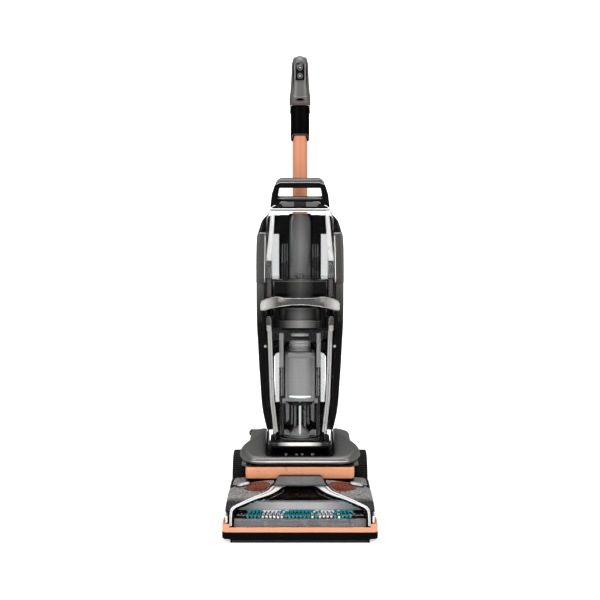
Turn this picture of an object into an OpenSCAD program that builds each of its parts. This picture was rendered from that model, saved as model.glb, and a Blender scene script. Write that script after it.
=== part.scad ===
// Upright carpet cleaner: a wheeled foot with two brush rolls and a lift-off clear nozzle,
// and an upright body with a clean water tank, a recovery tank, a pole and a loop handle.
// Millimetres, +Z up, front towards -Y, origin on the floor at the centre of the bounding box.

/* [Overall] */
// Height of the handle's top above the floor
total_h = 1100; // [1080:1:1120]
// Distance from the origin to the foremost and to the rearmost point
half_depth = 205; // [205:1:207]
// Half the width of the front bumper
bumper_hw = 175; // [175:1:178]

/* [Wheels] */
// Radius of a rear wheel, tyre included
wheel_r = 68; // [66:0.5:68]
// Distance of the rear axle behind the origin
axle_y = 105; // [104:0.5:106]
// Inner face of a wheel
wheel_in = 133; // [132:0.5:134]
// Outer face of a wheel
wheel_out = 166; // [164:0.5:167]
// Radius of the rear axle
axle_r = 5; // [4:0.5:6]

/* [Recline pivot] */
// Distance of the recline pivot behind the origin
pivot_y = 85; // [84:0.5:86]
// Height of the recline pivot
pivot_z = 112; // [111:0.5:113]
// Radius of the pivot pins
pivot_r = 9; // [8:0.5:10]

/* [Brush rolls] */
// Height of the brush roll axes
brush_z = 35; // [34.5:0.5:36]
// Distance of the front roll ahead of the origin
brush_front = 158; // [157.5:0.5:158.5]
// Distance of the rear roll ahead of the origin
brush_rear = 98; // [97.5:0.5:98.5]
// Radius over the bristle tips
bristle_r = 29.5; // [28:0.5:29.5]
// Radius of the roll's core
core_r = 12; // [10:0.5:14]

/* [Pole and handle] */
// Radius of the pole
pole_r = 18; // [16:0.5:18.5]
// Distance of the pole behind the origin
pole_y = 72; // [71:0.5:73]

/* [Hidden] */
$fn = 48;

gap = 0.3;               // clearance between neighbouring shells
run = 0.05;              // radial clearance of a running fit
wall = 2.5;              // wall of a tank or shell
big = 400;               // longer than any section that is cut
graphite = "#4a4a4c";
black = "#141416";
copper = "#d98f66";
smoke = [0.35, 0.35, 0.37, 0.5];
clear = [0.85, 0.87, 0.9, 0.35];
bright = "#c9c9cc";

// ---------- helpers ----------

// Outline in (x, z), extruded along Y from y0 to y1
module front_prism(points, y0, y1) {
    translate([0, y1, 0]) rotate([90, 0, 0]) linear_extrude(y1 - y0) polygon(points);
}

// Outline in (y, z), extruded along X from x0 to x1
module side_prism(points, x0, x1) {
    translate([x0, 0, 0]) rotate([90, 0, 90]) linear_extrude(x1 - x0) polygon(points);
}

// Outline in (x, y), extruded along Z from z0 to z1
module plan_prism(points, z0, z1) {
    translate([0, 0, z0]) linear_extrude(z1 - z0) polygon(points);
}

// Box from its lowest to its highest corner
module block(low, high) {
    translate(low) cube(high - low);
}

// Box with rounded vertical edges
module round_block(low, high, r) {
    size = high - low;
    translate([low[0], low[1], low[2]]) linear_extrude(size[2]) {
        translate([r, 0]) square([size[0] - 2 * r, size[1]]);
        translate([0, r]) square([size[0], size[1] - 2 * r]);
        for (x = [r, size[0] - r], y = [r, size[1] - r]) translate([x, y]) circle(r);
    }
}

// Round bars along the three axes
module rod_x(r, x0, x1, y, z) {
    translate([x0, y, z]) rotate([0, 90, 0]) cylinder(r = r, h = x1 - x0);
}
module rod_y(r, y0, y1, x, z) {
    translate([x, y1, z]) rotate([90, 0, 0]) cylinder(r = r, h = y1 - y0);
}
module rod_z(r, z0, z1, x, y) {
    translate([x, y, z0]) cylinder(r = r, h = z1 - z0);
}

// The children, and their mirror image on the other side
module both_sides() {
    children();
    mirror([1, 0, 0]) children();
}

// A closed outline from its right-hand side, given from the bottom up
function mirror_outline(side) = concat(side, [for (i = [len(side) - 1:-1:0]) [-side[i][0], side[i][1]]]);

// Points of an arc, in degrees from a0 to a1
function arc(c, r, a0, a1, n) = [
    for (i = [0:n]) let (a = a0 + (a1 - a0) * i / n) [c[0] + r * cos(a), c[1] + r * sin(a)]
];

// ---------- foot ----------

chassis_hw = 124;
chassis_front = -54;
chassis_rear = 150;
chassis_low = 12;
chassis_top = 140;
chassis_wall = 4;
yoke_bay_hw = 76;        // half the width of the bay in which the body's yoke swings
yoke_bay_front = 38;
motor_y = -8;
motor_z = 70;
motor_r = 26;
shaft_r = 4;
pulley_in = 154.5;       // belts and pulleys run between these planes
pulley_out = 160;
duct_hw = 36;
duct_low = 74;
duct_top = 89;

module chassis() {
    t = chassis_wall;
    color(black) difference() {
        union() {
            difference() {
                round_block([-chassis_hw, chassis_front, chassis_low], [chassis_hw, chassis_rear, chassis_top], 6);
                block([-chassis_hw + t, chassis_front + t, chassis_low + 3],
                      [chassis_hw - t, yoke_bay_front - t, big]);
                block([-yoke_bay_hw, yoke_bay_front, chassis_low + 3], [yoke_bay_hw, chassis_rear - t, big]);
                block([-yoke_bay_hw, yoke_bay_front, 40], [yoke_bay_hw, chassis_rear + 5, big]);
                both_sides() block([yoke_bay_hw + t, yoke_bay_front, chassis_low + 3],
                                   [chassis_hw - t, chassis_rear - t, big]);
            }
            both_sides() rod_x(15, yoke_bay_hw, yoke_bay_hw + 16, pivot_y, pivot_z);
            both_sides() rod_x(10, yoke_bay_hw, chassis_hw + 6, axle_y, wheel_r);
            pedal_lugs();
        }
        both_sides() rod_x(pivot_r + run, yoke_bay_hw - 1, yoke_bay_hw + 17, pivot_y, pivot_z);
        rod_x(axle_r + run, -big, big, axle_y, wheel_r);
        rod_x(shaft_r + 1, -big, -chassis_hw + t + 1, motor_y, motor_z);
        block([-duct_hw - gap, chassis_front - 1, duct_low - gap], [duct_hw + gap, yoke_bay_front + 1, duct_top + gap]);
        rod_x(pedal_pin_r + run, -big, -90, pedal_y, pedal_z);
    }
}

pedal_y = 170;
pedal_z = 150;
pedal_pin_r = 3;
pedal_in = 98;
pedal_out = 118;

// Two ears behind the left pod that carry the recline pedal
module pedal_lugs() {
    outline = [[150, 95], [150, 138], [166, 139], [163, 158], [177, 158], [178, 140], [162, 95]];
    side_prism(outline, -pedal_in + gap, -pedal_in + 4);
    side_prism(outline, -pedal_out - 4, -pedal_out - gap);
}

module recline_pedal() {
    pad = [[164, 150], [166, 158.5], [180, 164], [204, 167], [205, 162], [182, 154], [176, 146], [168, 144]];
    color(graphite) union() {
        side_prism(pad, -pedal_out, -pedal_in);
        intersection() {
            side_prism([[181, 155], [181, 164.2], [204, 167], [205, 162]], -131, -88);
            round_block([-131, 178, 140], [-88, 205, 175], 11);
        }
        rod_x(pedal_pin_r, -pedal_out - 4, -pedal_in + 4, pedal_y, pedal_z);
    }
}

hood_low = 140;
hood_reach = 84;         // radius of the pods about the pivot, inside the path of the side rails
hood_front = -62;

// The hood's outer form, grown inward by t
module hood_form(t) {
    bottom = hood_low - (t > 0 ? 5 : 0);
    plan = mirror_outline([
        [96 - t / 2, hood_front + t], [119 - t, -51 + t / 2], [146 - t, 0], [146 - t, 33 - t], [chassis_hw - t, 36 - t],
        [chassis_hw - t, 175]
    ]);
    across = mirror_outline([[147 - t, bottom], [146 - t, 158 - t], [139 - t, 168 - t], [96, 191 - t], [80, 197 - t]]);
    along = concat(
        [[hood_front + t, bottom], [hood_front + t, 150 - t / 2], [-57 + t, 158 - t], [-46, 161 - t], [50, 190 - t]],
        arc([pivot_y, pivot_z], hood_reach - t, 98, 10, 12),
        [[pivot_y + hood_reach - t, bottom]]
    );
    intersection() {
        plan_prism(plan, bottom, 200);
        front_prism(across, -70, 180);
        side_prism(along, -150, 150);
    }
}

module hood() {
    color(graphite) difference() {
        hood_form(0);
        hood_form(3);
        round_block([-80, -47, 100], [80, 300, 210], 12);
    }
}

// Glossy liner of the recess in which the body stands
module recess_panel() {
    liner = concat([[-34, 140], [-34, 161.5], [50, 186]], arc([pivot_y, pivot_z], hood_reach - 4, 98, 21, 8));
    color(black) union() {
        intersection() {
            side_prism([[-46.7, 155], [-46.7, 158.5], [30, 168], [30, 164.5]], -79.7, 79.7);
            round_block([-79.7, -46.7, 140], [79.7, 60, 210], 12);
        }
        both_sides() side_prism(liner, 77, 79.7);
    }
}

module copper_band() {
    color(copper) difference() {
        round_block([-127.5, -58, 106], [127.5, 80, 135.5], 9);
        round_block([-124.4, -54.6, 90], [124.4, 90, 150], 6);
        block([-150, 30, 90], [150, 120, 150]);
    }
}

module rear_axle() {
    color("silver") rod_x(axle_r, -159.5, 159.5, axle_y, wheel_r);
}

module pivot_pins() {
    color("silver") both_sides() rod_x(pivot_r, 52, 91, pivot_y, pivot_z);
}

module foot_duct() {
    color(black) difference() {
        block([-duct_hw, -61.5, duct_low], [duct_hw, 36, duct_top]);
        block([-duct_hw + 2, -70, duct_low + 2], [duct_hw - 2, 50, duct_top - 2]);
    }
}

// ---------- front of the foot ----------

side_in = 147;           // the brush chamber's side walls
side_out = 163;
arm_rear = 32;           // the side walls run back to here, ahead of the wheels

module brush_housing() {
    side = [[-196, 9], [-196, 50], [-187, 67.2], [-150, 79.4], [-61.3, 80.2], [-61.2, 92], [20, 92], [arm_rear, 80],
            [arm_rear, 16], [-60, 9]];
    color(black) difference() {
        union() {
            side_prism(side, side_in, side_out);
            side_prism(side, -side_out, -side_in);
            block([-side_in, -66.5, 12], [side_in, -62.5, 72]);
            both_sides() difference() {
                block([chassis_hw + gap, -62.5, 16], [side_in, 30, 87]);
                block([chassis_hw + gap + 3, -59.5, 10], [side_in - 0.5, 27, 83]);
            }
        }
        for (y = [-brush_front, -brush_rear]) both_sides() rod_x(core_r + 6, side_in - 1, pulley_in - 4, y, brush_z);
        for (y = [-brush_front, -brush_rear]) both_sides() rod_x(axle_r + run, side_in - 1, pulley_in, y, brush_z);
        belt_bay(-brush_rear, brush_z, 19, motor_y, motor_z, 14, -pulley_out - 0.8);
        belt_bay(-brush_front, brush_z, 19, -brush_rear, brush_z, 19, pulley_in - 0.7);
        rod_x(shaft_r + 1, -pulley_in - 1, -chassis_hw, motor_y, motor_z);
        block([-duct_hw - gap, -70, duct_low - gap], [duct_hw + gap, -60, duct_top + gap]);
    }
}

// Slot for a belt between two pulleys, 7 mm wide from x0 up
module belt_bay(y0, z0, r0, y1, z1, r1, x0) {
    angle = atan2(z1 - z0, y1 - y0);
    span = norm([y1 - y0, z1 - z0]);
    translate([x0, 0, 0]) rotate([90, 0, 90]) linear_extrude(7) {
        translate([y0, z0]) circle(r0);
        translate([y1, z1]) circle(r1);
        translate([y0, z0]) rotate(angle) polygon([[0, 1 - r0], [span, 1 - r1], [span, r1 - 1], [0, r0 - 1]]);
    }
}

rear_pulley_r = 14;
motor_pulley_r = 9;
belt_t = 2;

// Flat belt round two pulleys in a plane square to X
module belt(y0, z0, r0, y1, z1, r1, x0, x1) {
    translate([x0, 0, 0]) rotate([90, 0, 90]) linear_extrude(x1 - x0) difference() {
        hull() {
            translate([y0, z0]) circle(r0 + run + belt_t, $fn = 32);
            translate([y1, z1]) circle(r1 + run + belt_t, $fn = 32);
        }
        hull() {
            translate([y0, z0]) circle(r0 + run + 0.1, $fn = 32);
            translate([y1, z1]) circle(r1 + run + 0.1, $fn = 32);
        }
    }
}

module brush_belts() {
    color("#222222") {
        belt(-brush_rear, brush_z, rear_pulley_r, motor_y, motor_z, motor_pulley_r, -pulley_out + 0.5, -pulley_in - 0.3);
        belt(-brush_front, brush_z, rear_pulley_r, -brush_rear, brush_z, rear_pulley_r, pulley_in + 0.3, pulley_out - 0.5);
    }
}

module brush_motor() {
    color("silver") difference() {
        union() {
            rod_x(motor_r, -112, -42, motor_y, motor_z);
            rod_x(11, -117, -112, motor_y, motor_z);
            block([-100, motor_y - 20, chassis_low + 3], [-54, motor_y + 20, motor_z - 15]);
        }
        rod_x(shaft_r + run, -118, -96, motor_y, motor_z);
    }
}

module motor_pulley() {
    color("dimgray") union() {
        rod_x(motor_pulley_r, -pulley_out, -pulley_in, motor_y, motor_z);
        rod_x(shaft_r, -pulley_in, -97, motor_y, motor_z);
    }
}

// Core of a brush roll with its shaft and its pulleys
module roll_core(y, left_pulley) {
    color(black) union() {
        rod_x(core_r, -145, 145, y, brush_z);
        rod_x(axle_r, -pulley_in + (left_pulley ? -1 : 0.5), pulley_in + 1, y, brush_z);
        rod_x(rear_pulley_r, pulley_in, pulley_out - 0.2, y, brush_z);
        if (left_pulley) rod_x(rear_pulley_r, -pulley_out + 0.2, -pulley_in, y, brush_z);
    }
}

module bristle_sleeve(y) {
    color("#1c8f96") difference() {
        rod_x(bristle_r, -142, 142, y, brush_z);
        rod_x(core_r, -143, 143, y, brush_z);
    }
}

// Rounded top of both shoulders, which falls away forward and outward
module shoulder_form(lift) {
    along = [[-61.5, 107], [-78, 101], [-110, 94], [-150, 84], [-188, 70]];
    across = [[50, 111], [100, 102], [150, 90], [168, 81]];
    translate([0, 0, lift]) intersection() {
        side_prism(concat([[-50, 40], [-50, 111]], along, [[-200, 65], [-200, 40]]), 40, 180);
        front_prism(concat([[40, 40], [40, 112.8]], across, [[180, 75], [180, 40]]), -200, -50);
    }
}

// Plan of the right shoulder, along the nozzle's slanting edge
shoulder_plan = [[67.5, -61.5], [164, -61.5], [168, -72], [168, -188], [158.6, -188], [158.6, -184]];

lens_at = [92, -96];
lens_r = 25.5;
latch_button_at = [130, -82];
latch_button_r = 12;

module shoulders() {
    color(graphite) both_sides() difference() {
        intersection() {
            shoulder_form(0);
            plan_prism(shoulder_plan, 50, 120);
        }
        shoulder_form(-3);
        rod_z(lens_r + 0.2, 30, 130, lens_at[0], lens_at[1]);
        rod_z(latch_button_r + gap, 30, 130, latch_button_at[0], latch_button_at[1]);
    }
}

// Plan of the room outside the nozzle's arm, in which the right lens lies
lens_plan = [[64.8, -60], [64.8, -72], [158.7, -182], [180, -182], [180, -60]];

module amber_lenses() {
    color("#7c2f1c") both_sides() intersection() {
        difference() {
            shoulder_form(1.2);
            shoulder_form(-2.6);
        }
        rod_z(lens_r, 30, 130, lens_at[0], lens_at[1]);
        plan_prism(lens_plan, 30, 130);
    }
}

module latch_button() {
    color(bright) intersection() {
        difference() {
            shoulder_form(4.5);
            shoulder_form(-2);
        }
        rod_z(latch_button_r, 30, 130, latch_button_at[0], latch_button_at[1]);
    }
}
module left_release_button() { mirror([1, 0, 0]) latch_button(); }
module right_release_button() { latch_button(); }

module side_trims() {
    color(bright) both_sides() side_prism([[-186, 55], [-186, 60], [-150, 66], [-64, 75], [-64, 55]], side_out + gap, 168);
}

trim_low = 24.2;
trim_top = 35;
corner_top = 43;

// Plan ring round the front of the foot
module front_ring(hw, front, t, r, z0, z1) {
    difference() {
        round_block([-hw, front, z0], [hw, front + 200, z1], r);
        round_block([-hw + t, front + t, z0 - 1], [hw - t, front + 220, z1 + 1], max(r - t, 1));
        block([-hw - 1, -150, z0 - 1], [hw + 1, big, z1 + 1]);
    }
}

module copper_trim() {
    color(copper) union() {
        front_ring(bumper_hw - 1, -half_depth, 4, 10, trim_low, trim_top);
        difference() {
            front_ring(bumper_hw - 1, -half_depth, 4, 10, trim_low, corner_top);
            block([-158.5, -210, trim_top], [158.5, -100, 100]);
        }
        both_sides() block([side_out + gap, -192, trim_top - 4], [bumper_hw - 4.5, -189, corner_top]);
    }
}

module bumper() {
    color(black) union() {
        front_ring(bumper_hw, -half_depth, 7, 11, 8, 24);
        block([-156, -half_depth, 0], [156, -half_depth + 9, 8.5]);
    }
}

// ---------- nozzle ----------

// Outer line of the nozzle in (y, z), from the front lip to the latch
nozzle_top = [[-203.6, 36], [-202, 48], [-198, 66], [-190, 73.5], [-178, 77], [-130, 85], [-72, 93]];
nozzle_under = [[-201.2, 36], [-199.6, 47.6], [-195.8, 65], [-188.8, 71], [-177.4, 74.6], [-130, 82.6], [-72, 90.6]];
channel_top = [[-192, 25], [-191.5, 46], [-188.5, 61], [-180, 67.5], [-130, 73.5], [-72, 79]];
channel_under = [[-189.8, 25], [-189.3, 46], [-186.6, 60], [-179.4, 65.4], [-130, 71.3], [-72, 76.8]];
cover_plan = mirror_outline([[40, -72], [148, -184], [148, -210]]);

function reversed(list) = [for (i = [len(list) - 1:-1:0]) list[i]];

// Skin between two lines, cut to the nozzle's plan
module nozzle_skin(top, under, plan) {
    intersection() {
        side_prism(concat(top, reversed(under)), -160, 160);
        plan_prism(plan, 0, 130);
    }
}

module nozzle_cover() {
    color(smoke) nozzle_skin(nozzle_top, nozzle_under, cover_plan);
}

// Lower plate of the suction path, with its two side webs
module nozzle_channel() {
    channel_plan = mirror_outline([[40, -72], [146.4, -182.4], [146.4, -210]]);
    web_plan = [[37.6, -72.2], [144, -182.5], [144, -200], [146.4, -200], [146.4, -182.4], [39.8, -72.2]];
    color(smoke) union() {
        nozzle_skin(channel_top, channel_under, channel_plan);
        both_sides() intersection() {
            side_prism(concat([for (p = nozzle_under) p + [0.2, -0.2]], reversed(channel_under)), -160, 160);
            plan_prism(web_plan, 20, 120);
        }
    }
}

module nozzle_arms() {
    raised = [for (p = nozzle_top) [max(p[0] - 2, -204.8), p[1] + 3]];
    plan = [[30, -72], [64, -72], [158, -182], [158, -210], [149, -210], [149, -190], [141, -184], [100, -142], [44, -84]];
    color(bright) both_sides() intersection() {
        side_prism(concat(raised, reversed([for (p = nozzle_top) p + [-0.2, 0.2]])), 20, 160);
        plan_prism(plan, 30, 130);
    }
}

module nozzle_latch() {
    arch = [[-71.8, 79], [-71.8, 97], [-89, 97.5], [-86, 101], [-70, 116], [-64, 118.5], [-61, 118], [-61, 79]];
    color(graphite) difference() {
        intersection() {
            side_prism(arch, -80, 80);
            plan_prism(mirror_outline([[66, -90], [60, -84], [47, -61]]), 70, 125);
        }
        block([-duct_hw - 1, -73, 78], [duct_hw + 1, -60, 90.5]);
        block([-80, -73, 60], [80, -60, 84]);
    }
}

// ---------- wheels ----------

module wheel() {
    color("#2b2b2d") difference() {
        union() {
            rod_x(wheel_r - 10, wheel_in + 2, wheel_out - 8, axle_y, wheel_r);
            rod_x(wheel_r - 14, wheel_out - 8, wheel_out, axle_y, wheel_r);
        }
        rod_x(axle_r + run, wheel_in - 1, 160, axle_y, wheel_r);
        for (i = [0:5]) translate([wheel_out - 3, axle_y, wheel_r]) rotate([60 * i, 0, 0])
            translate([0, 18, -7]) cube([6, 28, 14]);
    }
}
module left_wheel() { mirror([1, 0, 0]) wheel(); }
module right_wheel() { wheel(); }

module tyre() {
    color(black) translate([wheel_in, axle_y, wheel_r]) rotate([0, 90, 0]) rotate_extrude($fn = 96) polygon([
        [wheel_r - 10, 0], [wheel_r - 3, 0], [wheel_r, 4], [wheel_r, wheel_out - wheel_in - 4],
        [wheel_r - 4, wheel_out - wheel_in], [wheel_r - 10, wheel_out - wheel_in]
    ]);
}
module left_tyre() { mirror([1, 0, 0]) tyre(); }
module right_tyre() { tyre(); }

// ---------- upright body ----------

// Half widths of the side rails, in (x, z): the edge by the tanks, and the outer silhouette
rail_inner = [[66, 214], [68.5, 245], [74, 293], [79.3, 459], [82.6, 569], [79.6, 716], [78.6, 724]];
rail_outer = [[79, 214], [83.8, 233], [88.3, 255], [92, 284], [95.2, 335], [97.6, 371], [100, 421], [102.8, 486],
              [102.8, 620], [100.9, 672], [96.5, 691], [89.5, 712], [79.6, 724]];
rail_front = -12;
rail_rear = 105;
panel_low = 566;
panel_top = 684;

// Part of a list of (x, z) points that lies below a height
function below(list, z) = [for (p = list) if (p[1] < z) p];

// The hollow side rail between two heights, open at its rear
module rail(z0, z1) {
    shape = concat(rail_outer, reversed(rail_inner));
    cut_outer = concat([for (p = below(rail_outer, 713)) p - [3, 0]], [[86, 714]]);
    cut_inner = concat([for (p = below(rail_inner, 713)) p + [3, 0]], [[82.8, 714]]);
    difference() {
        intersection() {
            front_prism(shape, rail_front, rail_rear);
            block([0, -50, z0], [150, 150, z1]);
        }
        intersection() {
            front_prism(concat(cut_outer, reversed(cut_inner)), rail_front + 3, rail_rear + 5);
            block([0, -50, z0 + 3], [150, 150, min(z1 - 3, 711)]);
        }
    }
}

module side_rails() {
    color(black) both_sides() {
        rail(214, panel_low - gap);
        rail(panel_top + gap, 724);
    }
}

module side_panels() {
    color(graphite) both_sides() rail(panel_low, panel_top);
}

frame_front = 50;
frame_rear = 56;
column_hw = 26;
column_low = 554;
column_front = 46;
column_rear = 98;

module frame() {
    outline = mirror_outline([for (p = rail_inner) p - [0.4, 0]]);
    color(black) difference() {
        union() {
            front_prism(outline, frame_front, frame_rear);
            block([-column_hw, column_front, column_low], [column_hw, column_rear, 727]);
            block([-48, frame_front, 660], [48, 90, 724]);
        }
        rod_z(pole_r + run, column_low + 5, 730, 0, pole_y);
        both_sides() block([column_hw + 3, frame_front + 4, 650], [45, 87, 720]);
        both_sides() block([50, 40, 570.5], [67.5, 70, 679]);
        both_sides() front_prism([[50, 269], [61, 269], [63.4, 330], [63.4, 381], [59, 389], [50, 392]], 40, 70);
        rod_y(4.05, 90, 99, 0, hook_z);
    }
}

// Platform under the recovery tank, and the barrel that turns on the pivot pins
module yoke() {
    neck = [[44, 150], [30, 172], [-10, 176.5], [49.4, 176.5], [49.4, 213.6], [108, 213.6], [116, 170], [123, pivot_z],
            [47, pivot_z]];
    color(black) difference() {
        union() {
            round_block([-71, -46, 176.5], [71, 49.4, 191.6], 14);
            side_prism(neck, -64, 64);
            rod_x(38, -74, 74, pivot_y, pivot_z);
        }
        both_sides() rod_x(pivot_r + run, 51, 75, pivot_y, pivot_z);
        rod_x(30, -52, 52, pivot_y, pivot_z);
        block([-58, 56, 146], [58, 102, 230]);
    }
}

module chrome_bar() {
    color(bright) intersection() {
        difference() {
            round_block([-73.5, -49, 179.5], [73.5, 60, 191.4], 16.5);
            round_block([-71.2, -46.2, 170], [71.2, 90, 200], 14);
        }
        block([-80, -60, 170], [80, -20, 200]);
    }
}

housing_hw = 48;
housing_rear = 150;
housing_low = 216;
housing_top = 515;
port_z = 392;
port_r = 16;

module motor_housing() {
    color(black) difference() {
        union() {
            round_block([-housing_hw, frame_rear + gap, housing_low], [housing_hw, housing_rear, housing_top], 3);
            rod_y(port_r + 4, housing_rear - 1, 168, 0, port_z);
            side_prism([[149, 262], [149, 274], [197, 271], [half_depth, 266], [half_depth, 238], [197, 238], [197, 260]],
                       -9, 9);
        }
        block([-housing_hw + 3, frame_rear - 5, housing_low + 3], [housing_hw - 3, housing_rear - 3, housing_top - 3]);
        rod_y(port_r, housing_rear - 4, 170, 0, port_z);
        rod_y(7 + run, housing_rear - 4, 155, 0, 460);
    }
}

module cord_gland() {
    color(black) difference() {
        union() {
            rod_y(7, housing_rear - 3, 153, 0, 460);
            rod_y(10, housing_rear + 0.2, 156, 0, 460);
            rod_y(6, 155, 165, 0, 460);
        }
        rod_y(3.6, 140, 170, 0, 460);
    }
}

motor_at = 104;

fan_shaft_r = 3;

module suction_motor() {
    color("silver") difference() {
        union() {
            rod_z(34, 240, 320, 0, motor_at);
            rod_z(40, housing_low + 3, 240, 0, motor_at);
            rod_z(12, 320, 330, 0, motor_at);
        }
        rod_z(fan_shaft_r + run, 300, 331, 0, motor_at);
    }
}

module impeller() {
    color("lightgray") union() {
        rod_z(38, 338, 340, 0, motor_at);
        rod_z(8, 331, 352, 0, motor_at);
        rod_z(fan_shaft_r, 301, 332, 0, motor_at);
        for (i = [0:7]) translate([0, motor_at, 340]) rotate([0, 0, 45 * i]) translate([7, -1, 0]) cube([29, 2, 12]);
    }
}

module water_pump() {
    color("dimgray") union() {
        block([-30, 70, 400], [30, 120, 448]);
        rod_z(16, 447, 480, 0, 95);
        both_sides() rod_x(5, 29, 40, 95, 424);
    }
}

collar_hw = 72;

// Glossy band between the two tanks, with the socket for the clean tank's valve
module mid_collar() {
    color(black) difference() {
        round_block([-collar_hw, -47, 535], [collar_hw, 49.6, 577], 16);
        round_block([-collar_hw + 3, -44, 530], [collar_hw - 3, 46, 553], 13);
        rod_z(22, 557, 579, 0, 0);
        block([-column_hw - gap, column_front - gap, 540], [column_hw + gap, 60, 610]);
    }
}

module pole() {
    color(copper) difference() {
        rod_z(pole_r, column_low + 5.2, 984, 0, pole_y);
        rod_z(pole_r - 1.6, column_low, 990, 0, pole_y);
    }
}

sleeve_r = 22.6;

module pole_sleeve() {
    color(black) difference() {
        rod_z(sleeve_r, 907, 985, 0, pole_y);
        rod_z(pole_r + run, 900, 990, 0, pole_y);
    }
}

cover_face = 41;         // plane of the handle's front face
trigger_y = 112;
trigger_z = 1066;
trigger_pin_r = 2;

// Loop of the handle in (y, z)
module handle_core() {
    loop = [[50, 985], [46, 1000], [45.5, 1060], [48, 1082], [58, 1092], [76, 1096], [98, 1094], [118, 1083],
            [127, 1062], [122, 1035], [108, 1005], [96, 985]];
    hole = [[77, 1003], [74, 1012], [74, 1062], [80, 1074], [94, 1078], [106, 1070], [111, 1056], [106, 1036],
            [94, 1008], [88, 1003]];
    slot = [[104, 1074], [113, 1074], [118.5, 1066], [117, 1056], [112.5, 1036], [99.5, 1008], [88, 1006], [98, 1050]];
    color(black) difference() {
        side_prism(loop, -17, 17);
        side_prism(hole, -18, 18);
        side_prism(slot, -7, 7);
        rod_x(trigger_pin_r + run, -13, 13, trigger_y, trigger_z);
    }
}

module handle_cover() {
    outer = [[46, 990], [cover_face, 1004], [cover_face, 1084], [46, 1094], [58, total_h - 1], [72, total_h],
             [94, total_h - 1.6]];
    inner = [[97.6, 1094.6], [76, 1096.4], [57.6, 1092.5], [47.4, 1082.4], [45.2, 1060], [45.6, 1000], [48, 990]];
    outline = mirror_outline([[24.5, 985], [24.9, 992], [22.4, 1012], [20.5, 1035], [19, 1062], [18.4, 1082],
                              [15.4, 1093], [9, 1101]]);
    color(graphite) difference() {
        intersection() {
            union() {
                side_prism(concat(outer, inner), -30, 30);
                both_sides() side_prism([[46, 990], [cover_face + 1, 1004], [cover_face + 1, 1084], [50, 1092],
                                         [66, 1092], [66, 1030], [60, 990]], 17.2, 30);
            }
            front_prism(outline, 30, 120);
        }
        block([-11.5, 30, 1041], [11.5, cover_face + 1.5, 1083]);
        for (z = [1052, 1071]) rod_y(4.8, 30, 50, 0, z);
    }
}

module button_panel() {
    color(black) difference() {
        front_prism(mirror_outline([[9, 1041.3], [11.3, 1044], [11.3, 1080], [9, 1082.7]]), cover_face - 0.5,
                    cover_face + 1.4);
        for (z = [1052, 1071]) rod_y(4.6, 30, 50, 0, z);
    }
}

module push_button(z) {
    color("dimgray") rod_y(4.3, cover_face - 2, cover_face + 2.5, 0, z);
}
module upper_button() { push_button(1071); }
module lower_button() { push_button(1052); }

module trigger() {
    lever = [[106, 1070], [112, 1071.5], [116, 1067], [114, 1061], [110, 1052], [104.5, 1038], [97, 1023], [92, 1018],
             [89, 1020.5], [93, 1034], [98.5, 1050], [101, 1062]];
    color("dimgray") union() {
        side_prism(lever, -6.6, 6.6);
        rod_x(trigger_pin_r, -12.5, 12.5, trigger_y, trigger_z);
    }
}

hook_z = 690;

// Swivelling upper hook for the flex
module cord_hook() {
    color(black) union() {
        rod_y(4, 91, 99, 0, hook_z);
        rod_y(10, 98.3, 107, 0, hook_z);
        block([-7, 99, hook_z], [7, 107, hook_z + 24]);
        block([-7, 99, hook_z + 16], [7, 140, hook_z + 24]);
        block([-7, 133, hook_z + 16], [7, 140, hook_z + 40]);
    }
}

// ---------- clean water tank ----------

clean_low = 578.6;
clean_side = [[81.8, clean_low], [79, 716], [69, 741.5]];
clean_rear_hw = 77.8;    // the tank is narrower between the side rails, so that it lifts out

// Tank body: front outline cut to a rounded plan, grown inward by t
module tank_form(side, z0, z1, front, rear, r, t) {
    hw = max([for (p = side) p[0]]);
    intersection() {
        front_prism(mirror_outline([for (p = side) p - [t, 0]]), front - 5, rear + 5);
        round_block([-hw + t, front + t, z0], [hw - t, rear - t, z1], r - t);
    }
}

// The clean tank's form, grown inward by t
module clean_form(z0, z1, t) {
    intersection() {
        tank_form(clean_side, z0, z1, -48, 44, 16, t);
        union() {
            block([-100, -60, 500], [100, rail_front - 0.6 - t, 800]);
            block([-clean_rear_hw + t, -60, 500], [clean_rear_hw - t, 60, 800]);
        }
    }
}

module clean_tank() {
    color(clear) difference() {
        union() {
            clean_form(clean_low, 741.5, 0);
            both_sides() block([74.8, -40, 536], [77.2, 30, clean_low + 0.4]);
        }
        clean_form(clean_low + wall, 750, wall);
        rod_z(9, 570, 590, 0, 0);
    }
}

module clean_tank_lid() {
    color("#333336") union() {
        intersection() {
            front_prism(mirror_outline([[66.4, 741.8], [64, 745.5], [50, 748], [44, 757]]), -40, 36);
            round_block([-67, -40, 740], [67, 36, 760], 14);
        }
        intersection() {
            front_prism(mirror_outline([[66, 735], [66, 742]]), -44, 40);
            round_block([-63, -42, 736], [63, 38, 741.9], 10);
        }
    }
}

module carry_handle() {
    outer = mirror_outline([[61, 749], [69.4, 742], [69, 752], [66, 775], [60, 794], [53, 806], [45, 812.5]]);
    color(black) difference() {
        front_prism(outer, -13, 13);
        front_prism(mirror_outline([[51.5, 770], [48.5, 789]]), -20, 20);
        front_prism(mirror_outline([[45, 757.4], [51, 748.6], [65, 746], [69.5, 741]]), -20, 20);
    }
}

module tank_valve() {
    color("#c25b34") union() {
        rod_z(21, 561, 578.3, 0, 0);
        rod_z(8.8, 578, 588, 0, 0);
    }
}

// ---------- recovery tank ----------

recovery_side = [[61, 192], [65.4, 221], [67.9, 245], [73.3, 293], [78.7, 459]];

module recovery_tank() {
    color(clear) difference() {
        tank_form(recovery_side, 192, 459, -50, 46, 18, 0);
        tank_form(recovery_side, 192 + wall, 470, -50, 46, 18, wall);
    }
}

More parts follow.
